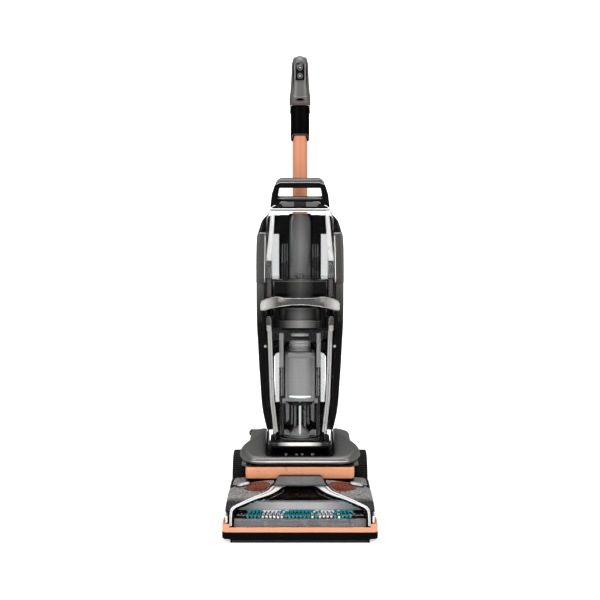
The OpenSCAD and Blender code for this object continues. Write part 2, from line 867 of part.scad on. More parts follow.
module recovery_lid() {
    color(black) difference() {
        union() {
            round_block([-72, -46.8, 452], [72, 42.8, 459.3], 14);
            round_block([-78.4, -50, 459.3], [78.4, 46, 464], 18);
            round_block([-54, -51, 464], [54, 0, 482], 20);
            round_block([-52, -49, 482], [52, 0, 511], 20);
            round_block([-70, -40, 464], [70, 44, 523.6], 14);
            both_sides() round_block([60, -49.5, 464], [78.4, 44, 492], 6);
        }
        round_block([-67, -37, 462.3], [67, 41, 520.6], 11);
        rod_z(22, 450, 470, 0, -4);
    }
}

// Inlet ducts, air path and strainer that hang from the lid inside the recovery tank
module separator() {
    color("#6e6e70") difference() {
        union() {
            round_block([-63.5, -40, 434.8], [63.5, 34, 451.8], 16);
            round_block([-51.6, -36, 423], [51.6, 30, 434.8], 14);
            round_block([-26, -24, 393], [26, 16, 423], 19);
            both_sides() rod_z(6, 206, 423, 44.5, -4);
            rod_z(2.5, 220, 284.4, 0, -4);
            rod_z(22, 196, 214, 0, -4);
            translate([0, -4, 214]) cylinder(r1 = 20, r2 = 8, h = 12);
            both_sides() block([20, -8, 200], [48, 0, 207]);
        }
        rod_z(17, 385, 460, 0, -4);
    }
}

module float() {
    color("#8e8c8e") difference() {
        round_block([-35.5, -29, 284.8], [35.5, 21, 404], 9);
        round_block([-32.5, -26, 300], [32.5, 18, 401], 7);
        round_block([-27, -25, 395], [27, 17, 410], 20);
    }
}

// Upright ring between two radii about the arch's own axis, open at its rear
module arch_ring(outer_r, inner_r) {
    difference() {
        translate([0, 36, 400]) cylinder(r = outer_r, h = 200, $fn = 128);
        translate([0, 36, 390]) cylinder(r = inner_r, h = 220, $fn = 128);
        block([-200, -14, 300], [200, 300, 700]);
    }
}

// Arched grip, with a lug down to the lid at each end
module recovery_handle() {
    arch = mirror_outline([[93, 495], [93.5, 525], [80, 534], [64, 538.5], [50, 540], [44, 538.5]]);
    soffit = mirror_outline([[92.5, 478], [90, 502], [75, 509], [45, 516.5], [20, 520]]);
    lug = [[-45, 462], [-33, 462], [-31, 492], [-36, 506], [-46, 506], [-48, 492]];
    color("#8a8a8c") union() {
        intersection() {
            difference() {
                front_prism(arch, -100, 0);
                front_prism(soffit, -110, 10);
            }
            arch_ring(118, 110);
        }
        both_sides() side_prism(lug, 78.4, 90);
    }
}

// ---------- one line for each node ----------

chassis();
hood();
recess_panel();
copper_band();
brush_housing();
shoulders();
amber_lenses();
side_trims();
copper_trim();
bumper();
brush_motor();
brush_belts();
rear_axle();
pivot_pins();
foot_duct();
nozzle_cover();
nozzle_channel();
nozzle_arms();
nozzle_latch();
roll_core(-brush_rear, true);  // rear_roll_core
bristle_sleeve(-brush_rear);  // rear_roll_bristles
roll_core(-brush_front, false);  // front_roll_core
bristle_sleeve(-brush_front);  // front_roll_bristles
motor_pulley();
left_wheel();
left_tyre();
right_wheel();
right_tyre();
left_release_button();
right_release_button();
recline_pedal();
frame();
yoke();
side_rails();
side_panels();
mid_collar();
chrome_bar();
motor_housing();
suction_motor();
impeller();
water_pump();
cord_gland();
pole();
pole_sleeve();
handle_core();
handle_cover();
button_panel();
upper_button();
lower_button();
trigger();
cord_hook();
clean_tank();
clean_tank_lid();
carry_handle();
tank_valve();
recovery_tank();
recovery_lid();
separator();
recovery_handle();
float();
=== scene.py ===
"""Looks of an upright carpet cleaner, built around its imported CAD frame."""

import random
from math import atan2, copysign, cos, exp, log, pi, radians, sin, sqrt

import bmesh
import bpy
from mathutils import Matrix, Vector


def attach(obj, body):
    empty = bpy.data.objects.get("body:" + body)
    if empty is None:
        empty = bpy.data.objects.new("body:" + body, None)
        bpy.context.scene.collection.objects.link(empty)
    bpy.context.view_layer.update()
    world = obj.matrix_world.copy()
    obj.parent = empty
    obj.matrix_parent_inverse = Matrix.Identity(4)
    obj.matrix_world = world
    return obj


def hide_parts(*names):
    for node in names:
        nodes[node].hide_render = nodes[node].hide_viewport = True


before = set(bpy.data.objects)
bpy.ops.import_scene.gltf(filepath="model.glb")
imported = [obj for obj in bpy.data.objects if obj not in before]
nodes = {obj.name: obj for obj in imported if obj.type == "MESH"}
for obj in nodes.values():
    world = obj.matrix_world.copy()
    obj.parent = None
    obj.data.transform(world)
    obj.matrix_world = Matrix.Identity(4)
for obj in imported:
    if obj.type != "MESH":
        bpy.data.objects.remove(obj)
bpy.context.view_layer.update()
random.seed(7)
MM = 0.001
CLEAN, DIRTY = "clean_water_tank", "dirty_water_tank"
ROLL_Z = 35                      # height of both brush rolls' axes, mm
AXLE = (105, 68)                 # y and z of the wheels' axle, mm
POLE_Y = 72                      # y of the pole's axis, mm
BUTTON_X, BUTTON_Y = 133, -71    # centre of the right release button, mm
CAMERA_AT = (0, -2.6, 0.8)       # m
CAMERA_DOWN = 6.04               # degrees below level
LENS, SENSOR = 66.15, 36         # mm


# ---------- materials ----------

def tree_of(name):
    """A new material, its nodes and a function that adds a node to it."""
    mat = bpy.data.materials.new(name)
    mat.use_nodes = True
    tree = mat.node_tree
    shader = tree.nodes["Principled BSDF"]

    def add(kind, inputs=None, **settings):
        node = tree.nodes.new(kind)
        for key, value in settings.items():
            setattr(node, key, value)
        for key, value in (inputs or {}).items():
            if isinstance(value, bpy.types.NodeSocket):
                tree.links.new(value, node.inputs[key])
            else:
                node.inputs[key].default_value = value
        return node

    return mat, tree, shader, add


def finished(mat, tree, shader, tone, metallic, coat, specular, glow, coat_rough=None):
    """Set the shader's constants, and paint light into the surface: it shines in its own colour where the glow is above
    zero, though it is no lamp.
    """
    tree.links.new(tone.outputs[2], shader.inputs["Base Color"])
    shader.inputs["Metallic"].default_value = metallic
    shader.inputs["Coat Weight"].default_value = coat
    shader.inputs["Specular IOR Level"].default_value = specular
    if coat_rough is not None:
        shader.inputs["Coat Roughness"].default_value = coat_rough
    if glow:
        tree.links.new(tone.outputs[2], shader.inputs["Emission Color"])
        shader.inputs["Emission Strength"].default_value = glow
    return mat


def surface(name, color, rough, metallic=0.0, coat=0.0, vary=0.12, blotch=25.0, grain=900.0,
        bump=0.02, rough_vary=0.06, specular=0.5, stretch=(1, 1, 1), glow=0.0):
    """A solid material: colour and gloss drift over the surface, and a fine grain bumps it."""
    mat, tree, shader, add = tree_of(name)
    place = add("ShaderNodeMapping", {"Vector": add("ShaderNodeTexCoord").outputs["Object"], "Scale": stretch})
    wide = add("ShaderNodeTexNoise", {"Vector": place.outputs[0], "Scale": blotch, "Detail": 4.0})
    fine = add("ShaderNodeTexNoise", {"Vector": place.outputs[0], "Scale": grain, "Detail": 3.0})
    ramp = add("ShaderNodeMix", {"Factor": wide.outputs["Fac"]}, data_type="RGBA")
    ramp.inputs[6].default_value = [c * (1 - vary) for c in color] + [1]
    ramp.inputs[7].default_value = [min(1, c * (1 + vary)) for c in color] + [1]
    gloss = add("ShaderNodeMapRange", {"Value": wide.outputs["Fac"], "From Min": 0.3, "From Max": 0.7,
            "To Min": max(0.02, rough - rough_vary), "To Max": rough + rough_vary})
    tree.links.new(gloss.outputs[0], shader.inputs["Roughness"])
    relief = add("ShaderNodeBump", {"Height": fine.outputs["Fac"], "Strength": bump, "Distance": 0.001})
    tree.links.new(relief.outputs[0], shader.inputs["Normal"])
    return finished(mat, tree, shader, ramp, metallic, coat, specular, glow, coat_rough=0.05)


def sheen_ramp(name, near, far, axis, start, end, rough, metallic=0.0, coat=0.0, specular=0.5, glow=0.0):
    """Painted sheen and shade: a solid material whose grey runs from near to far with the distance from a middle plane,
    standing in for how the lamps light a curved face.
    """
    mat, tree, shader, add = tree_of(name)
    place = add("ShaderNodeTexCoord").outputs["Object"]
    reach = add("ShaderNodeMath", {0: add("ShaderNodeSeparateXYZ", {0: place}).outputs[axis]}, operation="ABSOLUTE")
    drift = add("ShaderNodeTexNoise", {"Vector": place, "Scale": 80.0, "Detail": 4.0})
    wander = add("ShaderNodeMath", {0: drift.outputs["Fac"], 1: (end - start) * 0.12, 2: reach.outputs[0]},
            operation="MULTIPLY_ADD")
    share = add("ShaderNodeMapRange", {"Value": wander.outputs[0], "From Min": start, "From Max": end})
    mixed = add("ShaderNodeMix", {"Factor": share.outputs[0]}, data_type="RGBA")
    mixed.inputs[6].default_value = (near, near * 0.985, near * 0.965, 1)
    mixed.inputs[7].default_value = (far, far * 0.985, far * 0.965, 1)
    gloss = add("ShaderNodeMapRange", {"Value": drift.outputs["Fac"], "To Min": rough * 0.85, "To Max": rough * 1.15})
    tree.links.new(gloss.outputs[0], shader.inputs["Roughness"])
    return finished(mat, tree, shader, mixed, metallic, coat, specular, glow)


def speckled(name, base, light, dark_front):
    """Leather-grained grey plastic that turns to smooth black near the nozzle's lip."""
    mat, tree, shader, add = tree_of(name)
    place = add("ShaderNodeTexCoord").outputs["Object"]
    cells = add("ShaderNodeTexVoronoi", {"Vector": place, "Scale": 230.0})
    spots = add("ShaderNodeMapRange", {"Value": cells.outputs["Distance"], "From Min": 0.25, "From Max": 0.6})
    fine = add("ShaderNodeTexNoise", {"Vector": place, "Scale": 700.0, "Detail": 4.0})
    tone = add("ShaderNodeMix", {"Factor": spots.outputs[0]}, data_type="RGBA")
    tone.inputs[6].default_value = (*base, 1)
    tone.inputs[7].default_value = (*light, 1)
    along = add("ShaderNodeSeparateXYZ", {0: place})
    front = add("ShaderNodeMapRange", {"Value": along.outputs["Y"], "From Min": -0.158, "From Max": -0.138,
            "To Min": 1.0, "To Max": 0.0})
    mixed = add("ShaderNodeMix", {"Factor": front.outputs[0], 6: tone.outputs[2]}, data_type="RGBA")
    mixed.inputs[7].default_value = (*dark_front, 1)
    tree.links.new(mixed.outputs[2], shader.inputs["Base Color"])
    gloss = add("ShaderNodeMapRange", {"Value": front.outputs[0], "To Min": 0.48, "To Max": 0.15})
    tree.links.new(gloss.outputs[0], shader.inputs["Roughness"])
    height = add("ShaderNodeMath", {0: cells.outputs["Distance"], 1: fine.outputs["Fac"]}, operation="ADD")
    relief = add("ShaderNodeBump", {"Height": height.outputs[0], "Strength": 0.5, "Distance": 0.001})
    tree.links.new(relief.outputs[0], shader.inputs["Normal"])
    return mat


def clear_plastic(name, tint, rough=0.04, haze=0.0, alpha=1.0, ior=1.07):
    """Clear moulded plastic that lets the lamps through, with faint flow marks."""
    mat, tree, shader, add = tree_of(name)
    place = add("ShaderNodeTexCoord").outputs["Object"]
    flow = add("ShaderNodeTexNoise", {"Vector": place, "Scale": 30.0, "Detail": 3.0})
    gloss = add("ShaderNodeMapRange", {"Value": flow.outputs["Fac"], "To Min": rough * 0.6, "To Max": rough * 1.5})
    tree.links.new(gloss.outputs[0], shader.inputs["Roughness"])
    relief = add("ShaderNodeBump", {"Height": flow.outputs["Fac"], "Strength": 0.03, "Distance": 0.001})
    tree.links.new(relief.outputs[0], shader.inputs["Normal"])
    shader.inputs["Base Color"].default_value = (*tint, 1)
    shader.inputs["Transmission Weight"].default_value = 1 - haze
    shader.inputs["Alpha"].default_value = alpha
    shader.inputs["IOR"].default_value = ior
    path = add("ShaderNodeLightPath")
    open_air = add("ShaderNodeBsdfTransparent", {"Color": (*tint, 1)})
    mixed = add("ShaderNodeMixShader", {0: path.outputs["Is Shadow Ray"], 1: shader.outputs[0], 2: open_air.outputs[0]})
    tree.links.new(mixed.outputs[0], tree.nodes["Material Output"].inputs["Surface"])
    return mat


MATERIALS, SLOT_OF = {}, {}


def look_as(slot, name, maker, *values, **settings):
    """Register a look: its material, and the slot of the record that it stands for."""
    MATERIALS[name] = maker(name, *values, **settings)
    SLOT_OF[name] = slot


look_as("graphite_metallic", "graphite", surface, (0.125, 0.12, 0.115), 0.3, metallic=0.5, coat=0.5, vary=0.06,
        grain=2600, bump=0.03)
look_as("graphite_metallic", "graphite_soft", surface, (0.12, 0.115, 0.11), 0.42, metallic=0.4, coat=0.1,
        vary=0.05, grain=2600, bump=0.05)
look_as("graphite_metallic", "graphite_light", surface, (0.15, 0.146, 0.142), 0.34, metallic=0.6, coat=0.2,
        vary=0.05, grain=2600, bump=0.03, stretch=(1, 1, 0.3))
# painted highlight: the hood's grey is light along the bottom of its front lip and darker higher up
look_as("graphite_metallic", "hood_metal", sheen_ramp, 0.19, 0.12, "Z", 0.148, 0.164, rough=0.34, metallic=0.5, coat=0.1)
look_as("graphite_metallic", "latch_dark", surface, (0.03, 0.03, 0.029), 0.3, metallic=0.3, vary=0.08, bump=0.02)
look_as("black_gloss", "lid_grain", surface, (0.1, 0.098, 0.095), 0.4, vary=0.5, blotch=900, bump=0.15)
look_as("graphite_metallic", "panel_grey", surface, (0.075, 0.073, 0.071), 0.34, metallic=0.4, coat=0.2, vary=0.06,
        bump=0.01)
# painted light: the arms' white glows a little so that it reads bright
look_as("bright_trim", "arm_white", surface, (0.8, 0.795, 0.79), 0.26, metallic=0.1, coat=0.3, vary=0.04,
        bump=0.01, glow=0.12)
# painted sheen: the ribs are light in the middle and darken towards both sides as painted shade
look_as("bright_trim", "rib_fade", sheen_ramp, 0.42, 0.09, "X", 0.05, 0.13, 0.3)
# painted sheen: the lower rails are grey near the top and fade to black towards the bottom
look_as("black_gloss", "rail_fade", sheen_ramp, 0.09, 0.003, "Z", 0.556, 0.46, 0.34, metallic=0.2, specular=0.25)
# painted highlight: bright in the middle of the bar and fading to painted shade at its ends, with a glow of painted
# light
look_as("bright_trim", "lip_chrome", sheen_ramp, 0.95, 0.02, "X", 0.022, 0.055, 0.2, metallic=0.3, glow=0.25)
# painted sheen: the arch is dark in the middle and painted bright towards its ends
look_as("bright_trim", "arch_metal", sheen_ramp, 0.09, 0.75, "X", 0.055, 0.084, 0.26, metallic=0.4)
look_as("black_gloss", "drum_sheen", sheen_ramp, 0.1, 0.004, "X", 0.003, 0.034, 0.3, specular=0.3)
look_as("black_gloss", "ring_sheen", sheen_ramp, 0.21, 0.012, "X", 0.005, 0.042, 0.3, specular=0.3)
look_as("separator_grey", "neck_sheen", sheen_ramp, 0.22, 0.05, "X", 0.008, 0.027, 0.3, specular=0.3)
# painted shade: the float's body darkens towards its sides
look_as("float_grey", "float_body", sheen_ramp, 0.125, 0.09, "X", 0.02, 0.034, 0.34, coat=0.2)
# painted sheen: the float's face is lighter in the middle and darker towards its sides
look_as("float_grey", "float_pad", sheen_ramp, 0.16, 0.1, "X", 0.012, 0.028, 0.34, coat=0.2)
# painted sheen: the column is lighter down its middle and darker towards its sides
look_as("graphite_metallic", "spine_fade", sheen_ramp, 0.17, 0.055, "X", 0.003, 0.024, 0.34, metallic=0.3, coat=0.2)
# painted sheen: the collar's black is lighter in the middle of its front
look_as("black_gloss", "collar_fade", sheen_ramp, 0.06, 0.002, "X", 0.001, 0.034, 0.22, specular=0.4)
look_as("black_gloss", "black_gloss", surface, (0.002, 0.002, 0.0022), 0.15, vary=0.3, bump=0.01, specular=0.28)
look_as("black_gloss", "black_deep", surface, (0.001, 0.001, 0.001), 0.42, vary=0.3, grain=1800, bump=0.04,
        specular=0.03)
look_as("black_matte", "black_satin", surface, (0.002, 0.002, 0.002), 0.42, vary=0.25, grain=1500, bump=0.08,
        specular=0.1)
look_as("grey_textured", "textured_grey", speckled, (0.035, 0.033, 0.032), (0.3, 0.29, 0.28), (0.008, 0.008, 0.008))
look_as("copper_plastic", "copper", surface, (0.86, 0.37, 0.2), 0.32, metallic=0.15, coat=0.3, vary=0.05,
        grain=1800, bump=0.02)
# painted light: the tube glows so that its shaded parts read as evenly lit copper
look_as("copper_tube", "copper_tube", surface, (0.42, 0.163, 0.084), 0.42, metallic=0.05, vary=0.05, grain=1200,
        bump=0.03, stretch=(1, 1, 0.05), glow=0.48)
look_as("bright_trim", "bright", surface, (0.86, 0.86, 0.87), 0.2, metallic=0.55, vary=0.03, bump=0.01,
        rough_vary=0.03, coat=0.4)
look_as("bright_trim", "silver", surface, (0.5, 0.495, 0.49), 0.3, metallic=0.5, vary=0.06, grain=2000, bump=0.03)
look_as("amber_lens", "amber", surface, (0.12, 0.017, 0.008), 0.25, coat=0.3, vary=0.3, blotch=240, bump=0.05)
look_as("tank_clear", "clear", clear_plastic, (0.97, 0.975, 0.98))
look_as("smoked_clear", "smoked", clear_plastic, (0.85, 0.85, 0.86), rough=0.02, ior=1.05)
look_as("tank_clear", "haze", clear_plastic, (0.75, 0.74, 0.72), rough=0.3, haze=0.8, alpha=0.5)
look_as("tank_clear", "strip", clear_plastic, (0.46, 0.45, 0.44), rough=0.3, haze=0.8, alpha=0.75)
look_as("tank_clear", "veil", clear_plastic, (0.1, 0.098, 0.096), rough=0.3, haze=0.8, alpha=0.7)
look_as("tank_clear", "pane", clear_plastic, (0.44, 0.44, 0.44), rough=0.02, ior=1.02)
look_as("smoked_clear", "smoke_band", clear_plastic, (0.22, 0.215, 0.21), rough=0.25, haze=0.85, alpha=0.78)
look_as("tank_clear", "frosted", clear_plastic, (0.16, 0.157, 0.153), rough=0.3, haze=0.85, alpha=0.7)
look_as("steel", "steel", surface, (0.55, 0.55, 0.56), 0.3, metallic=1.0, vary=0.08, stretch=(0.1, 1, 1))
look_as("motor_metal", "cast", surface, (0.45, 0.45, 0.46), 0.45, metallic=0.9, grain=1100, bump=0.3)
look_as("tyre_rubber", "rubber", surface, (0.004, 0.004, 0.004), 0.5, vary=0.3, grain=1300, bump=0.2, specular=0.2)
look_as("roll_core", "dark_grey", surface, (0.035, 0.035, 0.036), 0.28, vary=0.2, coat=0.3)
look_as("separator_grey", "mid_grey", surface, (0.12, 0.118, 0.116), 0.3, vary=0.1, coat=0.3)
# painted light: the teal and white bristles glow so that they read bright inside the shaded nozzle
look_as("bristle_nylon", "teal", surface, (0.006, 0.36, 0.4), 0.4, vary=0.25, blotch=300, glow=0.65)
look_as("bristle_nylon", "white_nylon", surface, (0.88, 0.9, 0.9), 0.4, vary=0.05, blotch=300, glow=0.75)
look_as("bright_trim", "icon_ink", surface, (0.5, 0.5, 0.5), 0.5, vary=0.03)

CAD_LOOKS = {
    "panel_grey": ["side_panels"],
    "black_gloss": ["recess_panel", "button_panel"],
    "black_satin": ["chassis", "brush_housing", "foot_duct", "frame", "cord_hook", "left_wheel", "right_wheel"],
    "copper": ["copper_trim"],
    "bright": ["side_trims", "chrome_bar"],
    "smoked": ["nozzle_channel"],
    "steel": ["rear_axle", "pivot_pins", "motor_pulley"],
    "cast": ["brush_motor", "suction_motor", "impeller"],
    "rubber": ["brush_belts", "cord_gland"],
    "dark_grey": ["rear_roll_core", "front_roll_core", "water_pump", "trigger", "tank_valve"],
}


def paint(obj, look):
    obj.data.materials.clear()
    obj.data.materials.append(MATERIALS[look])


def add_bevel(obj, width, segments=3, angle=32):
    bevel = obj.modifiers.new("bevel", "BEVEL")
    bevel.width = width * MM
    bevel.segments = segments
    bevel.limit_method = "ANGLE"
    bevel.angle_limit = radians(angle)
    normals = obj.modifiers.new("normals", "WEIGHTED_NORMAL")
    normals.keep_sharp = True


def dress_cad():
    """Weld the triangles of each CAD node that stays in view, and round its edges by modifiers only."""
    for look, names in CAD_LOOKS.items():
        for name in names:
            paint(nodes[name], look)
            weld = nodes[name].modifiers.new("weld", "WELD")
            weld.merge_threshold = 0.02 * MM
            add_bevel(nodes[name], 1.0)


# ---------- shapes, in millimetres ----------

def spline(points, steps=6):
    """Smooth line through points of any dimension (Catmull-Rom)."""
    out = []
    for i in range(len(points) - 1):
        a, b, c, d = (points[max(0, min(len(points) - 1, i + k))] for k in (-1, 0, 1, 2))
        for s in range(steps):
            t = s / steps
            out.append(tuple(0.5 * (2 * q + (r - p) * t + (2 * p - 5 * q + 4 * r - w) * t * t
                    + (3 * q - p - 3 * r + w) * t ** 3) for p, q, r, w in zip(a, b, c, d)))
    out.append(tuple(points[-1]))
    return out


def along(table, key):
    """Value at key in a list of (key, value) pairs, by straight lines."""
    pairs = sorted(table)
    for (k0, v0), (k1, v1) in zip(pairs, pairs[1:]):
        if key <= k1:
            return v0 + (v1 - v0) * max(0.0, (key - k0) / (k1 - k0))
    return pairs[-1][1]


def rounded_plan(hw, y0, y1, r, steps=6):
    """Counter-clockwise rounded rectangle in (x, y)."""
    out = []
    for cx, cy, a in ((hw - r, y1 - r, 0), (-hw + r, y1 - r, 90), (-hw + r, y0 + r, 180), (hw - r, y0 + r, 270)):
        for s in range(steps + 1):
            turn = radians(a + 90 * s / steps)
            out.append((cx + r * cos(turn), cy + r * sin(turn)))
    return out


def turns(count):
    """Equal steps of angle once round a circle."""
    return [2 * pi * s / count for s in range(count)]


def loft(rings, caps=True, closed=True):
    """Skin over rings of (x, y, z) points that all have the same count."""
    count = len(rings[0])
    verts = [p for ring in rings for p in ring]
    faces = []
    for k in range(len(rings) - 1):
        for i in range(count if closed else count - 1):
            j = (i + 1) % count
            faces.append((k * count + i, k * count + j, (k + 1) * count + j, (k + 1) * count + i))
    if caps:
        faces.append(tuple(reversed(range(count))))
        faces.append(tuple((len(rings) - 1) * count + i for i in range(count)))
    return verts, faces


def column(levels, plan):
    """Loft of plan(level) rings at the heights in levels, each a (z, value) pair."""
    return loft([[(x, y, z) for x, y in plan(value)] for z, value in levels])


def stack(levels, hw, y0, y1, r, steps=8, swell=0):
    """Rounded block over (z, growth) levels: the growth moves every side outwards, and swell times it the corners."""
    return column(levels, lambda g: rounded_plan(hw + g, y0 - g, y1 + g, r + swell * g, steps))


def lathe(profile, axis, at, steps=48):
    """Turned solid: profile of (radius, place along the axis); its ends lie on the axis or it closes on itself."""
    rings = []
    for a in turns(steps):
        ring = []
        for r, h in profile:
            u, v = r * cos(a), r * sin(a)
            ring.append({"x": (h, at[0] + u, at[1] + v), "y": (at[0] + u, h, at[1] + v),
                    "z": (at[0] + u, at[1] + v, h)}[axis])
        rings.append(ring)
    rings.append(rings[0])
    return loft(rings, caps=False)


def prism(outline, axis, low, high):
    """Outline of two coordinates, pulled along the third axis from low to high."""
    def at(p, h):
        return {"x": (h, p[0], p[1]), "y": (p[0], h, p[1]), "z": (p[0], p[1], h)}[axis]
    return loft([[at(p, low) for p in outline], [at(p, high) for p in outline]])


def tube(path, radius, steps=10, flat=1.0):
    """Round bar along a path of (x, y, z) points; radius may be a list."""
    rings = []
    for i, p in enumerate(path):
        ahead = Vector(path[min(i + 1, len(path) - 1)]) - Vector(path[max(i - 1, 0)])
        ahead.normalize()
        side = ahead.cross(Vector((0, 1, 0)))
        if side.length < 0.2:
            side = ahead.cross(Vector((1, 0, 0)))
        side.normalize()
        up = side.cross(ahead)
        r = radius[i] if isinstance(radius, list) else radius
        rings.append([tuple(Vector(p) + side * r * cos(2 * pi * s / steps)
                + up * r * flat * sin(2 * pi * s / steps)) for s in range(steps)])
    return loft(rings)


def mirrored(part):
    verts, faces = part
    return [(-x, y, z) for x, y, z in verts], [tuple(reversed(f)) for f in faces]


def both(*parts):
    return [q for part in parts for q in (part, mirrored(part))]


def put(name, data):
    """A new object in the scene."""
    obj = bpy.data.objects.new(name, data)
    bpy.context.scene.collection.objects.link(obj)
    return obj


def mesh_of(name, parts, clean=False):
    """One mesh from a list of (points, faces); clean merges points that meet and drops what collapses."""
    mesh = bpy.data.meshes.new(name)
    bm = bmesh.new()
    for verts, faces in parts:
        made = [bm.verts.new(Vector(v) * MM) for v in verts]
        for face in faces:
            if len(set(face)) == len(face):
                bm.faces.new([made[i] for i in face])
    if clean:
        bmesh.ops.remove_doubles(bm, verts=bm.verts, dist=0.004 * MM)
        bmesh.ops.dissolve_degenerate(bm, edges=bm.edges, dist=0.002 * MM)
    bmesh.ops.recalc_face_normals(bm, faces=bm.faces)
    bm.to_mesh(mesh)
    bm.free()
    return mesh


def tie(obj, look, body, hides):
    """Paint a piece, tie it to its body and name the CAD nodes that it takes the place of."""
    paint(obj, look)
    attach(obj, body)
    for node in hides:
        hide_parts(node)
    return obj


def piece(name, look, body, parts, hides=(), bevel=0.0, angle=35, solid=0.0):
    """One named object from a list of (points, faces), finished with modifiers and tied to its body."""
    mesh = mesh_of(name, parts, clean=True)
    obj = put(name, mesh)
    mesh.shade_smooth()
    mesh.set_sharp_from_angle(angle=radians(angle))
    if solid:
        skin = obj.modifiers.new("wall", "SOLIDIFY")
        skin.thickness = solid * MM
        skin.offset = -1
    if bevel:
        add_bevel(obj, bevel, angle=angle)
    return tie(obj, look, body, hides)


def softened(obj, look, body, voxel, rounds, hides):
    """Melt a form and relax it so that its edges are soft, then tie it to its body."""
    melt = obj.modifiers.new("melt", "REMESH")
    melt.mode = "VOXEL"
    melt.voxel_size = voxel * MM
    relax = obj.modifiers.new("relax", "SMOOTH")
    relax.factor = 0.5
    relax.iterations = rounds
    bpy.context.view_layer.update()
    shaped = bpy.data.meshes.new_from_object(obj.evaluated_get(bpy.context.evaluated_depsgraph_get()))
    obj.modifiers.clear()
    obj.data = shaped
    shaped.shade_smooth()
    return tie(obj, look, body, hides)


def moulded(name, source, look, body, voxel=1.4, rounds=6):
    """A moulded piece: the CAD node's form with soft edges."""
    softened(put(name, nodes[source].data.copy()), look, body, voxel, rounds, [source])


def carved(name, look, body, base, keep=(), cuts=(), voxel=1.6, rounds=20, hides=()):
    """A soft-edged solid: a base form, trimmed to some shapes, cut by others, then softened."""
    obj = put(name, mesh_of(name, [base]))
    tools = []
    for kind, shapes in (("INTERSECT", keep), ("DIFFERENCE", cuts)):
        for shape in shapes:
            label = f"{name}_tool{len(tools)}"
            tools.append(put(label, mesh_of(label, [shape])))
            carve = obj.modifiers.new(kind, "BOOLEAN")
            carve.operation = kind
            carve.object = tools[-1]
    softened(obj, look, body, voxel, rounds, hides)
    for tool in tools:
        bpy.data.objects.remove(tool)


def screw(x, y, z, axis, radius=3.0):
    """Pan head with a round dimple, as one turned form."""
    sign = -1 if axis.startswith("-") else 1
    base = {"x": x, "y": y, "z": z}[axis[-1]]
    at = {"x": (y, z), "y": (x, z), "z": (x, y)}[axis[-1]]
    return lathe([(0, base - sign * 0.8), (radius, base - sign * 0.8), (radius, base + sign * 0.6),
            (radius * 0.7, base + sign * 1.2), (radius * 0.35, base + sign * 1.3),
            (radius * 0.28, base + sign * 0.2), (0, base + sign * 0.2)], axis[-1], at, 20)


# ---------- foot ----------

def foot_shells():
    """Hood over the chassis, bumper and pedal, all with soft moulded edges."""
    across = [(-147, 140.3), (-146.5, 152), (-140, 166), (-128, 176), (-96, 191), (-80, 197), (80, 197), (96, 191),
            (128, 176), (140, 166), (146.5, 152), (147, 140.3)]
    pod = [(85 + 84 * cos(radians(a)), 112 + 84 * sin(radians(a))) for a in range(98, 14, -6)]
    lengthways = [(-61.5, 140.3), (-62, 150), (-57, 158), (-46, 161), (50, 190)] + pod + [(169, 140.3)]
    half = spline([(90, -62), (106, -60), (119, -52), (130, -36), (141, -12), (146.5, 12), (146, 28), (140, 36)], 4)
    half += [(124.5, 38), (124, 175)]
    plan = half + [(-x, y) for x, y in reversed(half)]
    recess = prism(rounded_plan(80.2, -47, 300, 12, 6), "z", 100, 215)
    # the hood carries a painted highlight along the bottom of its front lip
    carved("hood_shell", "hood_metal", "base", prism(across, "y", -75, 180),
           keep=[prism(lengthways, "x", -150, 150), prism(plan, "z", 130, 210)], cuts=[recess], voxel=1.6, rounds=160,
           hides=["hood"])
    glint = tube([(81.6, 8, 178.4), (81.8, 30, 184.8), (81.8, 48, 189.8), (81.8, 60, 193.2), (81.8, 72, 195.2)],
            [0.3, 0.9, 1.4, 1.6, 0.5], 8)
    piece("recess_glints", "bright", "base", both(glint))
    rim = spline([(0, -61.2), (60, -61.2), (90, -61.2), (104, -59.4), (116, -53), (126, -40)], 5)
    sweep = [(-x, y) for x, y in reversed(rim[1:])] + rim
    piece("lip_glint", "arm_white", "base",
          [tube([(x, y, 148.6) for x, y in sweep], [1.7 * max(0.12, 1 - (abs(x) / 127) ** 3) for x, y in sweep], 10)])
    moulded("bumper_strip", "bumper", "black_satin", "base", voxel=1.5, rounds=5)
    moulded("pedal_pad", "recline_pedal", "graphite", "pedal", voxel=1.0, rounds=5)
    grip = [prism([(-126 + 7 * i, 163), (-123 + 7 * i, 163), (-123 + 7 * i, 168.3), (-126 + 7 * i, 168.3)], "y", 184,
            201)
            for i in range(6)]
    piece("pedal_ribs", "graphite", "pedal", [([(x, y, z + (y - 184) * 0.06) for x, y, z in v], f) for v, f in grip],
          bevel=0.4)


ARM_OUT = spline([(60, -71.5), (68, -81), (75.4, -101.3), (96.2, -124.6), (118.6, -147), (136.9, -168.2),
        (147.7, -180.5),
        (155.5, -192.8), (157.2, -200), (157.6, -204)], 5)
ARM_IN = spline([(30, -71.5), (37, -80), (45.7, -101.3), (59.1, -124.6), (87.6, -147), (112, -168.2), (126.7, -180.5),
        (144.3, -192.8), (148.2, -200), (149, -204)], 5)


def arm_side(line, y):
    return along([(p[1], p[0]) for p in line], y)


def shoulder_height(x, y):
    """Height of the shoulders' crowned top at a place on the right-hand side."""
    lengthways = along([(-190, 69), (-150, 84), (-110, 94), (-78, 101), (-61.5, 107), (10, 112)], y)
    across = along([(50, 111), (100, 102), (150, 91), (160, 87), (166, 82), (168, 78)], x)
    blend = 4.0
    return -blend * log(exp(-lengthways / blend) + exp(-across / blend))


